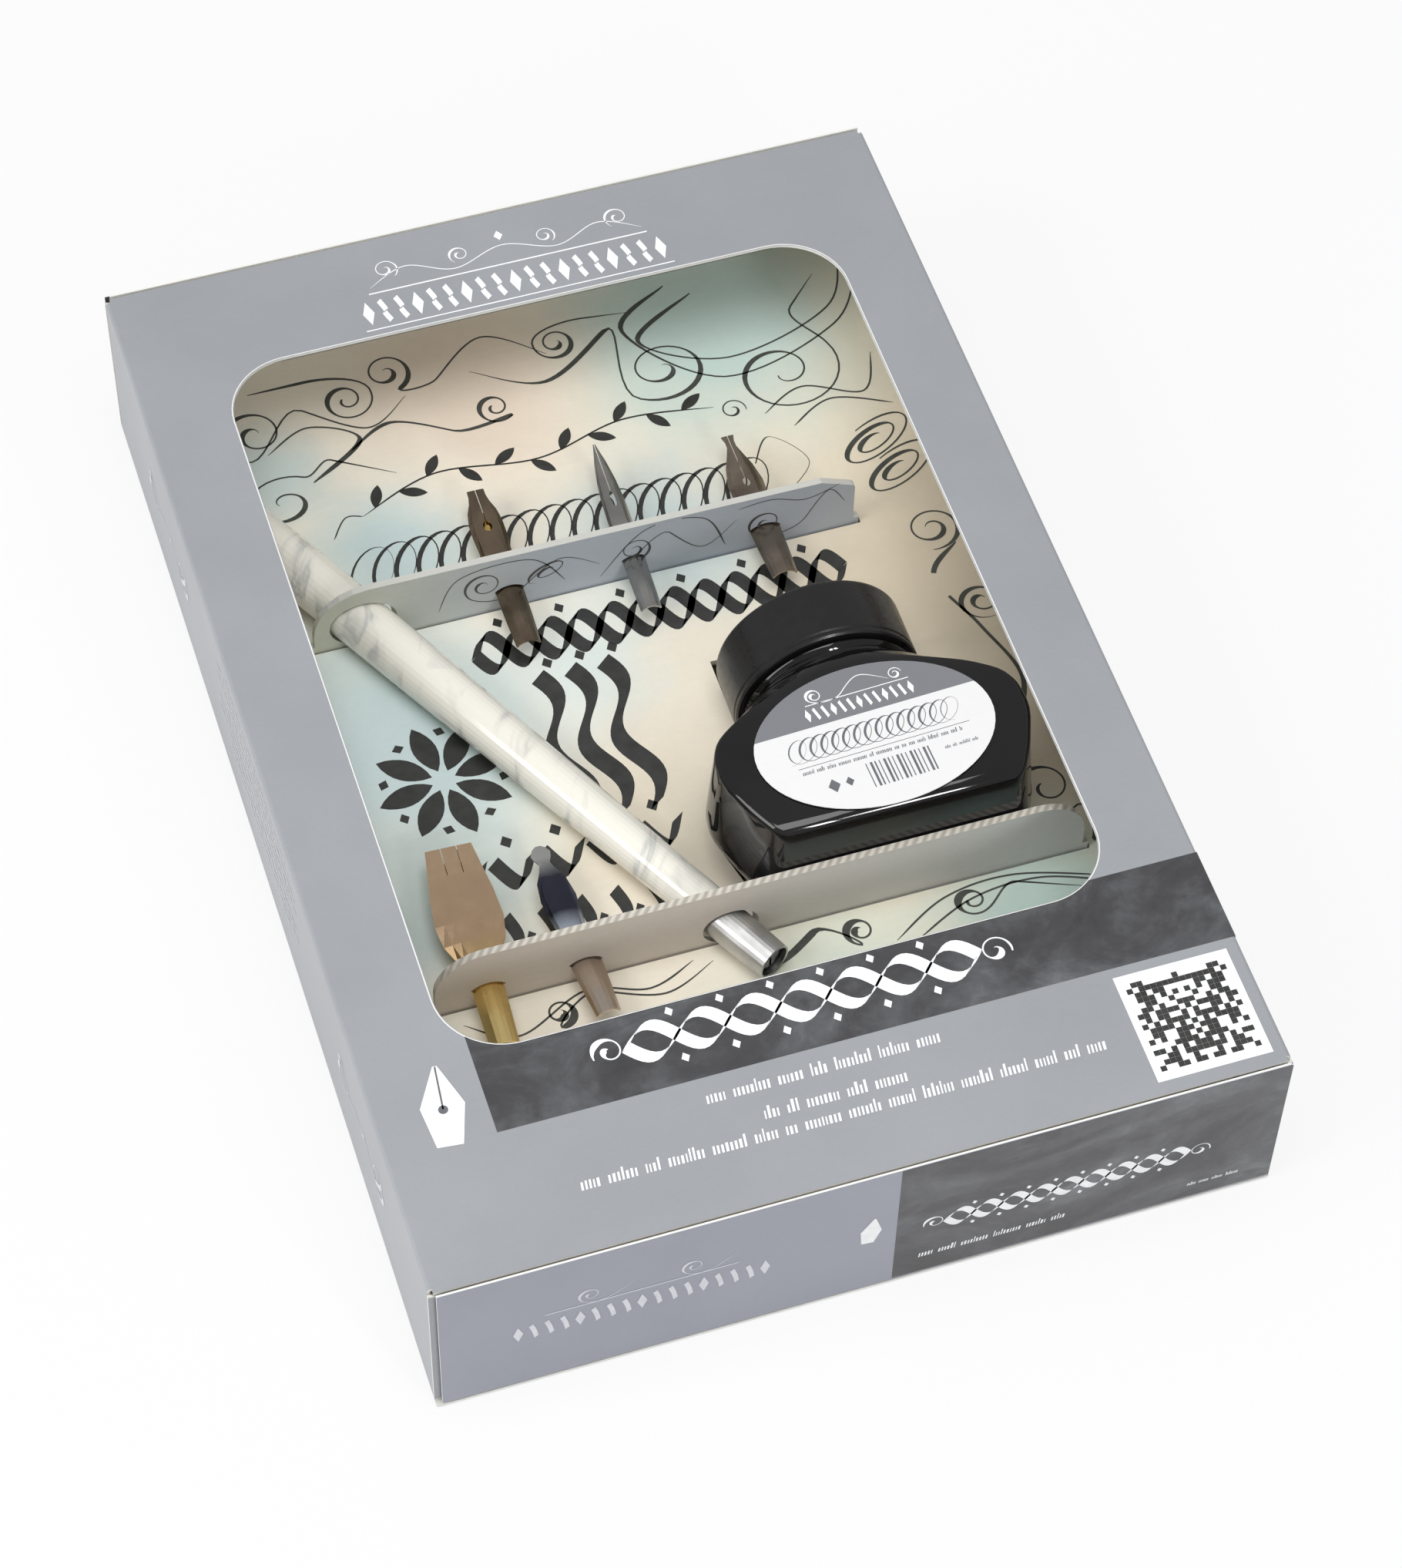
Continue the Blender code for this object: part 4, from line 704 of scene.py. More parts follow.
class Drawing:
    """One layer of ink on a plane. Points outside the frame, or in a hole, are left undrawn."""

    def __init__(self, name, plane, material, body="carton", area=None, holes=(), layer=1):
        self.name, self.plane, self.material, self.body = name, plane, material, body
        self.area, self.holes = area, holes
        self.lift = plane.normal * PRINT_LIFT * layer
        self.bm = bmesh.new()

    def inside(self, x, y):
        if self.area:
            left, right, low, high = self.area
            if not (left < x < right and low < y < high):
                return False
        return not any(l < x < r and b < y < t for l, r, b, t in self.holes)

    def vert(self, x, y):
        return self.bm.verts.new(self.plane.at(x, y) + self.lift)

    def strip(self, path, offsets):
        """Quads between the path's two sides, broken where it leaves the frame."""
        before = None
        for (x, y), (dx, dy) in zip(path, offsets):
            if not (self.inside(x + dx, y + dy) and self.inside(x - dx, y - dy)):
                before = None
                continue
            pair = (self.vert(x + dx, y + dy), self.vert(x - dx, y - dy))
            if before:
                self.bm.faces.new((before[0], before[1], pair[1], pair[0]))
            before = pair

    def pen(self, path, thin, thick, lean=0.9):
        """A pointed pen: strokes that fall along the lean swell, and the ends taper."""
        offsets = []
        for number in range(len(path)):
            dx, dy = heading(path, number)
            along = -(dx * math.cos(lean) + dy * math.sin(lean))
            swell = max(0.0, along) ** 1.5
            ends = min(1.0, 6.0 * min(number, len(path) - 1 - number) / len(path) + 0.25)
            half = 0.5 * (thin + (thick - thin) * swell) * ends
            offsets.append((-dy * half, dx * half))
        self.strip(path, offsets)

    def broad(self, path, width, thin=0.12, angle=math.radians(40.0)):
        """A broad pen held at a fixed angle."""
        wide, high = 0.5 * width * math.cos(angle), 0.5 * width * math.sin(angle)
        offsets = []
        for number in range(len(path)):
            dx, dy = heading(path, number)
            side = 1.0 if dx * high - dy * wide > 0.0 else -1.0
            offsets.append((side * wide - dy * thin, side * high + dx * thin))
        self.strip(path, offsets)

    def shape(self, outline):
        if all(self.inside(x, y) for x, y in outline):
            self.bm.faces.new([self.vert(x, y) for x, y in outline])

    def box(self, left, low, right, high):
        self.shape([(left, low), (right, low), (right, high), (left, high)])

    def pens(self, paths, thin, thick):
        for path in paths:
            self.pen(path, thin, thick)

    def finish(self):
        bmesh.ops.triangulate(self.bm, faces=[f for f in self.bm.faces if len(f.verts) > 4])
        add_piece(self.name, made_mesh(self.name, self.bm, self.material), self.body)


def heading(path, number):
    """The direction of a path at one of its points."""
    before, after = path[max(number - 1, 0)], path[min(number + 1, len(path) - 1)]
    dx, dy = after[0] - before[0], after[1] - before[1]
    length = math.hypot(dx, dy) or 1.0
    return dx / length, dy / length


def spiral(x, y, start, end, angle, turns, flat=1.0, tilt=0.0):
    """A spiral whose radius goes from start to end, flattened and then tilted."""
    count = max(12, int(abs(turns) * SPIRAL_STEPS))
    path = []
    for step in range(count + 1):
        share = step / count
        radius = start + (end - start) * share
        at = angle + 2 * math.pi * turns * share
        px, py = radius * math.cos(at), radius * math.sin(at) * flat
        path.append((x + px * math.cos(tilt) - py * math.sin(tilt),
                     y + px * math.sin(tilt) + py * math.cos(tilt)))
    return path


def curve(*points, steps=12):
    """A smooth line through a few points."""
    points = [points[0], *points, points[-1]]
    path = []
    for a, b, c, d in zip(points, points[1:], points[2:], points[3:]):
        for step in range(steps):
            t = step / steps
            path.append(tuple(
                0.5 * (2 * b[k] + (c[k] - a[k]) * t
                       + (2 * a[k] - 5 * b[k] + 4 * c[k] - d[k]) * t * t
                       + (3 * b[k] - a[k] - 3 * c[k] + d[k]) * t ** 3)
                for k in (0, 1)
            ))
    path.append(tuple(points[-1]))
    return path


def coil(left, right, y, count, height, width, lean=0.35):
    """A row of leaning loops that the pen makes without lifting."""
    path = []
    for step in range(count * LOOP_STEPS + 1):
        share = step / LOOP_STEPS
        turn = 2 * math.pi * share - math.pi / 2
        up = height * (0.5 + 0.5 * math.sin(turn))
        across = left + (right - left) * share / count + width * math.cos(turn)
        path.append((across + lean * up, y + up))
    return path


def wave(left, right, y, height, waves, phase=0.0):
    count = int(waves * WAVE_STEPS)
    return [
        (left + (right - left) * step / count,
         y + height * math.sin(phase + 2 * math.pi * waves * step / count))
        for step in range(count + 1)
    ]


def moved(path, x, y, turn=0.0):
    cos, sin = math.cos(turn), math.sin(turn)
    return [(x + px * cos - py * sin, y + px * sin + py * cos) for px, py in path]


def diamond(x, y, wide, high, turn=0.0):
    return moved([(-wide, 0.0), (0.0, -high), (wide, 0.0), (0.0, high)], x, y, turn)


def leaf(x, y, length, wide, turn):
    shares = [step / LEAF_STEPS for step in range(1, LEAF_STEPS)]
    right = [(length * share, wide * math.sin(math.pi * share) ** 0.8) for share in shares]
    left = [(px, -py) for px, py in right]
    return moved([(0.0, 0.0), *left, (length, 0.0), *right[::-1]], x, y, turn)


def dashes(drawing, left, right, y, tall, seed, slant=0.12):
    """A line of small upright dashes in groups, as fine print looks from afar."""
    picks = random.Random(seed)
    x, group = left, picks.randint(4, 9)
    while x < right - tall * 0.3:
        wide = tall * picks.uniform(0.10, 0.20)
        high = tall * picks.choice((0.60, 0.60, 0.62, 0.64, 0.66, 0.95))
        lean = slant * high
        drawing.shape([(x, y), (x + wide, y), (x + wide + lean, y + high), (x + lean, y + high)])
        x += wide + tall * 0.13
        group -= 1
        if group <= 0:
            x += tall * 0.45
            group = picks.randint(3, 10)


def scroll(curl, *points):
    """A spiral that runs on into a curve."""
    return joined(spiral(*curl), curve(*points))


def scroll_pair(drawing, x, y, size, thin, thick):
    """A scroll and its mirror image, with a curl at each outer end."""
    out = scroll((x + size * 1.15, y, size * 0.12, size * 0.42, math.radians(200), -1.35),
                 (x + size * 0.75, y - size * 0.18), (x + size * 0.25, y + size * 0.12),
                 (x + size * 0.10, y))
    drawing.pens((out, [(2 * x - px, py) for px, py in out]), thin, thick)


def joined(*paths):
    """The paths one after another, with a smooth bridge where they don't meet."""
    path = list(paths[0])
    for later in paths[1:]:
        start, end = path[-1], later[0]
        if math.dist(start, end) > 0.05:
            out, back = heading(path, len(path) - 1), heading(later, 0)
            reach = math.dist(start, end) / 3
            first = (start[0] + out[0] * reach, start[1] + out[1] * reach)
            last = (end[0] - back[0] * reach, end[1] - back[1] * reach)
            for step in range(1, BRIDGE_STEPS):
                t = step / BRIDGE_STEPS
                path.append(tuple(
                    (1 - t) ** 3 * start[k] + 3 * (1 - t) ** 2 * t * first[k]
                    + 3 * (1 - t) * t * t * last[k] + t ** 3 * end[k] for k in (0, 1)
                ))
        path.extend(later)
    return path


# Artwork on the platform and the cradle's upper wall: pen drills, scrolls and broad strokes

CARD_MARGIN = 0.6
CARD_AREA = (CARD_LOW.x / MM + CARD_MARGIN, CARD_HIGH.x / MM - CARD_MARGIN,
             CARD_LOW.y / MM + CARD_MARGIN, CARD_HIGH.y / MM - CARD_MARGIN)
# Where the bottle and the two walls come through
CARD_HOLES = ((0.0, 54.4, -39.2, 20.5), (-52.0, 60.0, -39.6, -37.2), (-52.0, 48.0, 34.3, 36.8))
WALL_AREA = (-47.5, 43.5, 9.7, 22.0)
CARD_PLANE = Plane((0, 0, CARD_HIGH.z), (1, 0, 0), (0, 1, 0))
UPPER_PLANE = Plane((0, UPPER_FACE_Y, 0), (1, 0, 0), (0, 0, 1))


def card_drawing(name, material):
    return Drawing(name, CARD_PLANE, material, area=CARD_AREA, holes=CARD_HOLES)


def card_fine_lines():
    """Scrolls and long curves of a pointed pen, with a heavier row at the bottom."""
    ink = card_drawing("platform_fine_lines", THIN_INK)
    ink.pens((
        scroll((-47, 83, 0.8, 6.0, 0.4, 1.6), (-38, 86), (-28, 79), (-20, 84)),
        scroll((-22, 90, 0.6, 4.4, 2.0, -1.5), (-14, 86), (-4, 93), (6, 86)),
        scroll((-46, 67, 0.8, 7.5, 3.4, -1.4, 0.8), (-36, 74), (-26, 68)),
        spiral(-50, 52, 1.2, 5.4, 1.0, 1.8, 0.7, 0.5),
        scroll((24, 77, 0.9, 8.5, 1.2, -1.55, 0.85), (17, 88), (4, 80), (-8, 86)),
        scroll((44, 70, 1.2, 10.5, 3.6, 1.5, 0.9), (50, 84), (56, 90)),
        curve((34, 92), (22, 84), (36, 76), (56, 82), (62, 94)),
        curve((30, 95), (20, 87), (34, 72), (56, 78), (64, 90)),
        spiral(54, 51, 2.0, 8.6, 0.4, 2.2, 0.42, 0.5),
        spiral(56, 44, 2.0, 8.6, 0.4, 2.2, 0.42, 0.5),
        spiral(57, 30, 1.0, 5.2, 2.6, -1.7, 0.9),
        spiral(60, 13, 0.8, 4.2, 0.6, 1.7, 0.9),
        curve((60, 26), (54, 20), (58, 8), (61, -4), (56, -14)),
        scroll((57, -26, 1.0, 6.0, 2.2, 1.5), (60, -38), (56, -36)),
        scroll((-54, -4, 1.0, 5.0, 1.2, 1.6), (-54, -16), (-50, -28)),
        spiral(-6, -33.5, 0.8, 3.2, 2.2, 1.5, 0.9),
        scroll((-30, 86, 0.7, 4.6, 2.6, 1.6), (-36, 92), (-46, 92)),
        scroll((8, 88, 0.7, 3.8, 0.6, -1.6), (14, 92), (22, 91)),
        scroll((-6, 77, 0.6, 3.4, 2.2, 1.5), (-14, 74), (-24, 79), (-32, 75)),
        curve((-46, 78), (-38, 82), (-30, 77), (-40, 70)),
        curve((38, 62), (46, 66), (56, 62), (60, 70)),
        curve((42, 58), (50, 62), (60, 58)),
    ), 0.34, 0.95)
    ink.pens((
        scroll((-31, -44.2, 0.6, 2.6, 1.0, -1.4), (-24, -42), (-14, -45.6), (-5, -42)),
        scroll((19, -43.6, 0.6, 2.6, 1.2, 1.5), (12, -41.5), (4, -45.5), (-2, -41)),
        scroll((38, -43.4, 0.8, 3.0, 2.8, 1.4, 0.9), (46, -42), (56, -46)),
        curve((24, -47), (34, -41.5), (46, -40.6), (60, -45)),
        curve((27, -48), (38, -43), (50, -42.4), (62, -47)),
        curve((-46, -42), (-38, -46.4), (-26, -41.4), (-16, -44), (-8, -41)),
    ), 0.36, 1.35)
    ink.finish()


def card_pointed_pen():
    """The drill of leaning loops and the leafy twig over it."""
    ink = card_drawing("platform_loop_drill", DARK_INK)
    row = coil(-40, 30, 41.5, 18, 12, 4.6)
    ink.pen(joined(row, curve((36, 44), (42, 50), (37, 57), (33, 52))), 0.24, 0.85, 1.15)
    stem = curve((-34, 60.5), (-20, 66), (-2, 64), (14, 68), (30, 66))
    ink.pen(stem, 0.35, 0.60)
    for number in range(3, len(stem) - 3, 4):
        x, y = stem[number]
        dx, dy = heading(stem, number)
        side = 1 if number % 8 < 4 else -1
        ink.shape(leaf(x, y, 5.0, 1.0, math.atan2(dy, dx) + side * 0.75))
    ink.pen(curve((-40, 57), (-37, 61), (-34, 60.5)), 0.25, 0.5)
    ink.pen(spiral(33, 64.5, 0.5, 2.4, 1.6, -1.3), 0.25, 0.5)
    ink.finish()


def card_broad_pen():
    """Heavy strokes of a broad pen: a plait, a rosette, waves, chevrons and diamonds."""
    ink = card_drawing("platform_broad_strokes", DARK_INK)
    for phase in (0.0, math.pi):
        ink.broad(wave(-24, 40, 26.5, 3.6, 6.0, phase), 2.3, 0.14)
    for number in range(6):
        ink.shape(diamond(-18.7 + 10.66 * number, 32.2, 0.95, 1.15, 0.25))
    for number in range(8):
        turn = math.pi * number / 4 + 0.2
        start = moved([(2.0, 0.0)], -36, 4, turn)[0]
        ink.shape(leaf(*start, 9.6, 2.0, turn))
        ink.shape(diamond(*moved([(9.8, 0.0)], -36, 4, turn + math.pi / 8)[0], 0.9, 1.1, turn))
    for number in range(3):
        swing = [(y, -x) for x, y in wave(-21, 9, 0, 2.0, 1.5)]
        ink.broad(moved(swing, -15.5 + 5.6 * number, -1.5), 3.2, 0.14)
        ink.shape(diamond(-13.2 + 5.6 * number, 21.8, 1.0, 1.2, 0.2))
    for number in range(5):
        x = -38 + 8.2 * number
        ink.broad(curve((x - 3.2, -14), (x, -19), (x + 3.2, -14), steps=8), 2.6, 0.14)
        ink.shape(diamond(x, -10.6, 1.1, 1.3, 0.2))
    for number in range(7):
        x = -34 + 6.0 * number
        ink.broad(curve((x, -24.5), (x + 1.0, -29), (x - 0.4, -33.5), steps=6), 2.2, 0.12)
    for number in range(6):
        ink.shape(diamond(-31 + 6.0 * number, -29, 0.8, 1.0, 0.2))
    ink.finish()


def wall_lines():
    """Fine scrolls on the upper wall's face."""
    ink = Drawing("wall_fine_lines", UPPER_PLANE, THIN_INK, area=WALL_AREA)
    ink.pens((
        scroll((-20, 16.4, 0.6, 3.4, 0.4, 1.5), (-14, 13), (-7, 19), (0, 15)),
        curve((-28, 12.4), (-24, 20), (-12, 20.6), (-6, 13)),
        scroll((6, 16.5, 0.5, 3.0, 2.4, -1.6), (12, 19), (18, 13), (24, 18)),
        curve((0, 11.5), (8, 21.2), (18, 20.5), (22, 12)),
        scroll((29, 15.2, 0.6, 3.2, 1.2, 1.5), (36, 14), (40, 20), (43, 16)),
        spiral(-9, 16.5, 1.0, 4.0, 0.0, 1.6, 0.5, 0.5),
        curve((24, 20.5), (30, 21), (36, 19), (42, 21)),
    ), 0.20, 0.55)
    ink.finish()


# Print on the carton

SKIN_FRONT = Plane((0, 0, FRONT_Z - SKIN_INSET), (1, 0, 0), (0, 1, 0))
SKIN_BACK = Plane((0, 0, SKIN_INSET), (-1, 0, 0), (0, 1, 0))
SKIN_LEFT = Plane((SIDE_X + SKIN_INSET, 0, 0), (0, -1, 0), (0, 0, 1))
SKIN_RIGHT = Plane((-SIDE_X - SKIN_INSET, 0, 0), (0, 1, 0), (0, 0, 1))
SKIN_BOTTOM = Plane((0, END_Y + SKIN_INSET, 0), (1, 0, 0), (0, 0, 1))
SKIN_TOP = Plane((0, -END_Y - SKIN_INSET, 0), (-1, 0, 0), (0, 0, 1))
WINDOW_CORNER = 11.0
WINDOW_LEFT, WINDOW_RIGHT, WINDOW_LOW, WINDOW_TOP = -52.9, 53.6, -61.9, 78.1
CORNERS_LEFT, CORNERS_RIGHT = WINDOW_LEFT + WINDOW_CORNER, WINDOW_RIGHT - WINDOW_CORNER
CORNERS_LOW, CORNERS_TOP = WINDOW_LOW + WINDOW_CORNER, WINDOW_TOP - WINDOW_CORNER
BAND_LEFT, BAND_RIGHT, BAND_LOW, BAND_HIGH = -50.0, 67.15, -76.0, -59.8
BAND_CLEAR = 0.15
BAND_STEPS = 10
EDGE_CLEAR = 0.12
EDGE_HALF_WIDTH = 0.10
CORNER_STEPS = 12


def front_band():
    """The dark band, a hair away from the window's edge, and its end on the right side."""
    radius = WINDOW_CORNER + BAND_CLEAR
    start = math.acos((BAND_LEFT - CORNERS_LEFT) / radius)
    end = math.asin((BAND_HIGH - CORNERS_LOW) / radius)
    down = -math.pi / 2
    edge = [
        *arc(CORNERS_LEFT, CORNERS_LOW, radius, -start, start + down, BAND_STEPS),
        *arc(CORNERS_RIGHT, CORNERS_LOW, radius, down, end - down, BAND_STEPS),
        (BAND_RIGHT, BAND_HIGH), (BAND_RIGHT, BAND_LOW), (BAND_LEFT, BAND_LOW),
    ]
    band = Drawing("front_band", SKIN_FRONT, BAND)
    band.shape(edge[::-1])
    band.finish()
    side = Drawing("side_band", SKIN_RIGHT, BAND)
    side.box(BAND_LOW, 0.6, BAND_HIGH, 33.2)
    side.finish()


def window_edge():
    """The white core of the board, which shows as a hair line round the window."""
    ink = Drawing("window_cut_edge", SKIN_FRONT, CORE)
    path, out = [], []
    for quarters, (x, y) in enumerate((
        (CORNERS_RIGHT, CORNERS_TOP), (CORNERS_LEFT, CORNERS_TOP),
        (CORNERS_LEFT, CORNERS_LOW), (CORNERS_RIGHT, CORNERS_LOW),
    )):
        bend = (math.pi / 2 * quarters, math.pi / 2, CORNER_STEPS)
        path += arc(x, y, WINDOW_CORNER + EDGE_CLEAR, *bend)
        out += arc(0.0, 0.0, EDGE_HALF_WIDTH, *bend)
    ink.strip([*path, path[0]], [*out, out[0]])
    ink.finish()


def stroke_row(ink, middle, pitch, count, every, jewel, stroke, nib, thin):
    """Small strokes of a broad pen in a row, and at every few of them a diamond."""
    for number in range(-count, count + 1):
        x = middle + pitch * number
        if number % every == 0:
            ink.shape(diamond(x, *jewel))
        else:
            ink.broad(curve(*((x + dx, y) for dx, y in stroke), steps=4), nib, thin)


def nib_sign(x, y, turn, foot, wide, tip, shoulder, tall):
    """The outline of a pen nib that points up."""
    outline = [(-foot, 0.0), (foot, 0.0), (wide, shoulder), (tip, tall), (-tip, tall),
               (-wide, shoulder)]
    return moved(outline, x, y, math.radians(turn))


def title_ornament(ink, x, y, half, tall, waves, nib):
    """A plait drawn with a broad pen, with diamonds over and under it and a curl at each end."""
    for phase in (0.0, math.pi):
        ink.broad(wave(x - half, x + half, y, tall * 0.30, waves, phase), nib, 0.06)
    step = half / waves
    for number in range(int(2 * waves) - 1):
        at = x - half + step * (number + 1)
        for side in (-1, 1):
            ink.shape(diamond(at, y + side * tall * 0.44, nib * 0.34, nib * 0.42, 0.2))
    for side in (-1, 1):
        end = spiral(x + side * (half + tall * 0.28), y, tall * 0.05, tall * 0.28,
                     math.pi / 2, -side * 1.3)
        ink.pen(end, nib * 0.12, nib * 0.5)


def front_title():
    """Scrolls over a row of small strokes between two rules."""
    ink = Drawing("front_title_ornament", SKIN_FRONT, WHITE_INK, layer=2)
    twig = curve((-24, 88.6), (-17, 91.8), (-9, 88.8), (0, 91.6), (9, 88.8), (17, 91.8), (24, 88.6))
    ink.pen(twig, 0.20, 0.85, -0.6)
    for side in (-1, 1):
        ink.pens((spiral(side * 20.5, 92.0, 0.4, 2.3, math.pi / 2, side * 1.4),
                  spiral(side * 7.5, 91.6, 0.4, 1.9, math.pi / 2, -side * 1.4)), 0.18, 0.45)
    ink.shape(diamond(0, 93.8, 0.8, 1.1))
    ink.box(-24.5, 87.2, 24.5, 87.5)
    stroke_row(ink, 0.0, 2.85, 9, 3, (83.2, 1.0, 2.6),
               ((-0.5, 85.6), (0.15, 83.4), (-0.15, 82.8), (0.5, 80.8)), 0.95, 0.05)
    ink.box(-27.0, 79.4, 27.0, 79.65)
    ink.finish()


def front_print():
    """The plait on the band, rows of dashes under it and a nib with its slit."""
    ink = Drawing("front_print", SKIN_FRONT, WHITE_INK, layer=2)
    title_ornament(ink, 0.5, -67.6, 28.0, 9.6, 3.5, 2.1)
    for seed, left, right, y in ((1, -18.9, 19.8, -80.6), (2, -11.5, 11.4, -85.6),
                                 (3, -41.0, 41.7, -89.2)):
        dashes(ink, left, right, y, 2.3, seed)
    ink.shape(nib_sign(-57.2, -76.2, -6, 2.0, 3.4, 0.35, 7.0, 14.0))
    ink.finish()
    mark = Drawing("front_nib_slit", SKIN_FRONT, GREY_INK, layer=3)
    mark.strip(moved([(0.0, 6.4), (0.0, 13.9)], -57.2, -76.2, math.radians(-6)),
               [(0.14, 0.0), (0.14, 0.0)])
    mark.shape(spiral(-56.55, -69.9, 0.75, 0.75, 0.0, 0.97))
    mark.finish()


def mosaic_square():
    """A white square with a mosaic, the same on both sides of its middle."""
    left, low, wide, tall, cells, margin = 46.4, -97.0, 18.5, 19.3, 17, 1.2
    back = Drawing("front_square", SKIN_FRONT, WHITE_INK, layer=2)
    back.box(left, low, left + wide, low + tall)
    back.finish()
    ink = Drawing("front_mosaic", SKIN_FRONT, DARK_INK, layer=3)
    picks = random.Random(11)
    cell = (wide - 2 * margin) / cells
    foot = low + (tall - cell * cells) / 2
    for row in range(cells):
        for column in range((cells + 1) // 2):
            if picks.random() < 0.52:
                for place in sorted({column, cells - 1 - column}):
                    x, y = left + margin + place * cell, foot + row * cell
                    ink.box(x, y, x + cell * 0.98, y + cell * 0.98)
    ink.finish()


def end_panel(word, plane):
    """The band, the plait and the fine print of one end, and pale scrolls beside them."""
    body = f"{word}_closure"
    band = Drawing(f"{word}_end_band", plane, BAND, body)
    band.box(5.0, 1.2, 67.0, 33.3)
    band.finish()
    ink = Drawing(f"{word}_end_print_with_painted_shade", plane, WHITE_INK, body, layer=2)
    title_ornament(ink, 32.5, 15.2, 19.5, 6.6, 4.5, 1.25)
    dashes(ink, 9.0, 33.0, 5.6, 1.7, 21)
    dashes(ink, 53.0, 62.0, 4.6, 1.0, 22)
    ink.shape(nib_sign(0.4, 14.4, -8, 1.0, 1.7, 0.15, 3.4, 6.9))
    ink.finish()
    grey = Drawing(f"{word}_end_scrolls", plane, PALE_INK, body, layer=2)
    grey.box(-50.0, 19.4, -20.0, 19.65)
    for x in (-43.0, -27.0):
        grey.pen(scroll((x, 22.0, 0.3, 1.9, 1.6, 1.4), (x + 4, 20.6), (x + 7, 23)), 0.15, 0.5)
    stroke_row(grey, -35.0, 2.4, 8, 4, (15.8, 0.8, 2.1),
               ((-0.4, 17.6), (0.1, 15.8), (0.4, 13.9)), 0.8, 0.04)
    grey.finish()


def side_print():
    """Fine print and scrolls on the long sides and on the back, which also has a plait."""
    for word, plane in (("left", SKIN_LEFT), ("right", SKIN_RIGHT)):
        ink = Drawing(f"{word}_side_print", plane, PALE_INK, layer=2)
        for row in range(7):
            long = 26.0 if row % 3 else 20.0
            dashes(ink, -long, long * 0.9, 28.4 - 2.9 * row, 1.5, 40 + row)
        for x in (-60.0, 60.0):
            scroll_pair(ink, x, 17.0, 9.0, 0.25, 1.0)
        ink.finish()
    ink = Drawing("back_print", SKIN_BACK, WHITE_INK, layer=2)
    title_ornament(ink, 0.0, 70.0, 28.0, 9.6, 3.5, 2.1)
    for row in range(12):
        dashes(ink, -46.0, 46.0 - (row * 7) % 11, 40.0 - 5.0 * row, 1.9, 60 + row)
    for x in (-30.0, 0.0, 30.0):
        scroll_pair(ink, x, -40.0, 9.0, 0.25, 1.0)
    ink.finish()


def label_print():
    """Pen ornament on the label, white on its grey part and grey on its white part."""
    cos, sin = math.cos(LABEL_TURN), math.sin(LABEL_TURN)
    middle = (LABEL_LOW + LABEL_HIGH) / 2
    plane = Plane((middle.x, middle.y, LABEL_HIGH.z), (cos, sin, 0), (-sin, cos, 0))
    white = Drawing("label_white_print", plane, WHITE_INK, "ink_bottle")
    white.pen(scroll((-6.5, 10.0, 0.3, 1.3, 0.5, 1.4), (-2.5, 9.0), (1.5, 11.6), (6.0, 9.4)),
              0.16, 0.50)
    white.pen(spiral(7.2, 10.0, 0.3, 1.2, 2.6, -1.4), 0.16, 0.40)
    white.box(-8.5, 8.5, 9.0, 8.66)
    stroke_row(white, 0.0, 1.45, 6, 3, (6.7, 0.5, 1.3),
               ((-0.25, 7.8), (0.0, 6.7), (0.25, 5.6)), 0.50, 0.03)
    white.finish()
    dark = Drawing("label_dark_print", plane, GREY_INK, "ink_bottle")
    dark.pen(coil(-14.5, 13.0, -1.6, 15, 4.4, 1.9), 0.10, 0.40, 1.15)
    dashes(dark, -13.5, 13.5, -3.9, 0.9, 81)
    dark.box(-13.8, -2.6, 15.0, -2.5)
    for number in range(15):
        x = -3.6 + 0.74 * number
        dark.box(x, -9.6, x + (0.16, 0.40, 0.24)[number % 3], -4.9)
    dark.shape(diamond(-9.6, -7.2, 1.0, 1.3))
    dark.shape(diamond(-7.0, -7.2, 0.7, 0.9))
    dashes(dark, 9.4, 15.0, -6.4, 0.7, 82)
    dark.finish()


glass_bottle()
screw_cap()
window_edge()
front_band()
front_title()
front_print()
mosaic_square()
end_panel("bottom", SKIN_BOTTOM)
end_panel("top", SKIN_TOP)
side_print()
card_fine_lines()
card_pointed_pen()
card_broad_pen()
wall_lines()
label_print()


# Camera, floor and light

FLOOR_TINT = (226, 226, 226)
FLOOR_DROP = 0.0002
FLOOR_REACH = 3.0
# How much of plain white the floor shows to the camera, and in the glossy pieces
FLOOR_SEEN = 0.84
FLOOR_MIRRORED = 0.5
WORLD_STRENGTH = 0.44
BOX_MIDDLE = (0.0, 0.0, 0.0)
BOTTLE_FOOT = (BOTTLE_X, BASE_Y, AXIS_Z)
# Each lamp's name, place, what it points at, its two sizes and its power
LAMPS = (
    ("key", (-0.95, -0.15, 0.60), BOX_MIDDLE, (0.6, 0.8), 7.0),
    ("overhead", (-0.05, -0.14, 1.10), BOX_MIDDLE, (0.7, 0.6), 5.6),
    ("left_glint", (0.150, -0.66, 0.43), BOTTLE_FOOT, (0.034, 0.15), 0.55),
    ("right_glint", (0.208, -0.66, 0.43), BOTTLE_FOOT, (0.034, 0.15), 0.55),
)


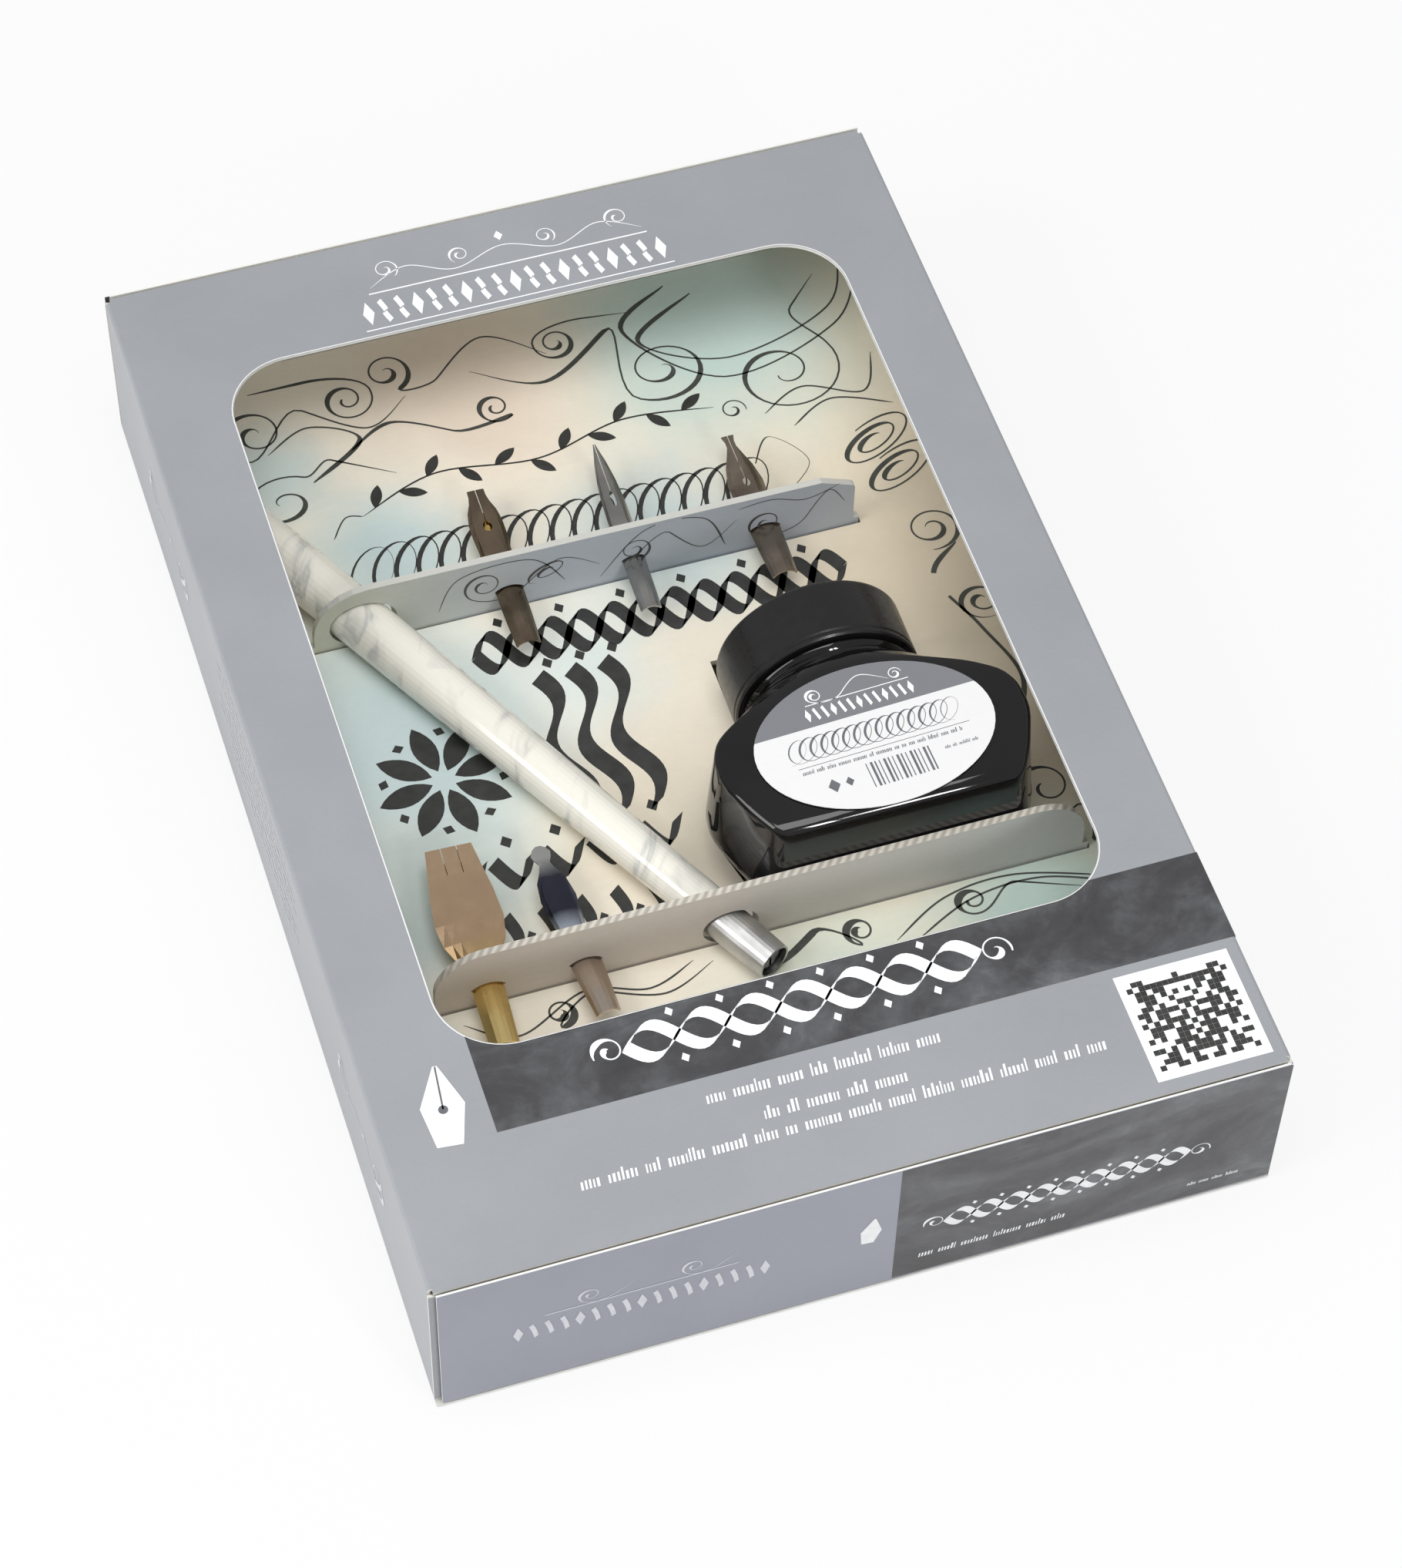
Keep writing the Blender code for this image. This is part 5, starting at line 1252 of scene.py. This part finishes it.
def photo_camera():
    """The camera where the photograph was taken, with its lens and its roll."""
    data = bpy.data.cameras.new("photo_camera")
    data.sensor_width = SENSOR
    data.lens = FOCAL_PIXELS * SENSOR / IMAGE_LONG_SIDE
    data.clip_start, data.clip_end = 0.01, 20.0
    camera = added("photo_camera", data)
    turn = CAMERA_LOOK.to_track_quat("-Z", "Y") @ Quaternion((0, 0, 1), CAMERA_ROLL)
    camera.matrix_world = Matrix.Translation(CAMERA_AT) @ turn.to_matrix().to_4x4()
    bpy.context.scene.camera = camera


def white_floor():
    """A pale floor that keeps the object's shadow and shows nearly white to the camera."""
    paint = Paint("floor_white", FLOOR_TINT, roughness=0.9)
    rays = paint.node("LightPath").outputs
    mirrored_white = paint.maths("MULTIPLY", rays["Is Glossy Ray"], FLOOR_MIRRORED)
    seen_white = paint.maths("MULTIPLY", rays["Is Camera Ray"], FLOOR_SEEN)
    glow = paint.node("Emission", {"Color": (1, 1, 1, 1), "Strength": 1.0})
    mixed = paint.node("MixShader", {
        0: paint.maths("MAXIMUM", mirrored_white, seen_white),
        1: paint.shader.outputs[0], 2: glow.outputs[0],
    })
    output = paint.tree.nodes["Material Output"]
    paint.tree.links.new(mixed.outputs[0], output.inputs["Surface"])
    bm = bmesh.new()
    bmesh.ops.create_grid(bm, x_segments=1, y_segments=1, size=FLOOR_REACH)
    floor = added("floor", made_mesh("floor", bm, paint.material))
    floor.location.z = -FLOOR_DROP


def lamp(name, place, target, size, power):
    data = bpy.data.lights.new(name, "AREA")
    data.shape = "RECTANGLE"
    data.size, data.size_y = size
    data.energy = power
    look = (Vector(target) - Vector(place)).to_track_quat("-Z", "Y")
    added(name, data).matrix_world = Matrix.Translation(place) @ look.to_matrix().to_4x4()


def soft_world(strength):
    world = bpy.data.worlds.new("studio")
    world.use_nodes = True
    background = world.node_tree.nodes["Background"]
    background.inputs["Color"].default_value = (1.0, 1.0, 1.0, 1.0)
    background.inputs["Strength"].default_value = strength
    bpy.context.scene.world = world


photo_camera()
white_floor()
soft_world(WORLD_STRENGTH)
for settings in LAMPS:
    lamp(*settings)

bpy.context.scene.view_settings.view_transform = "Standard"
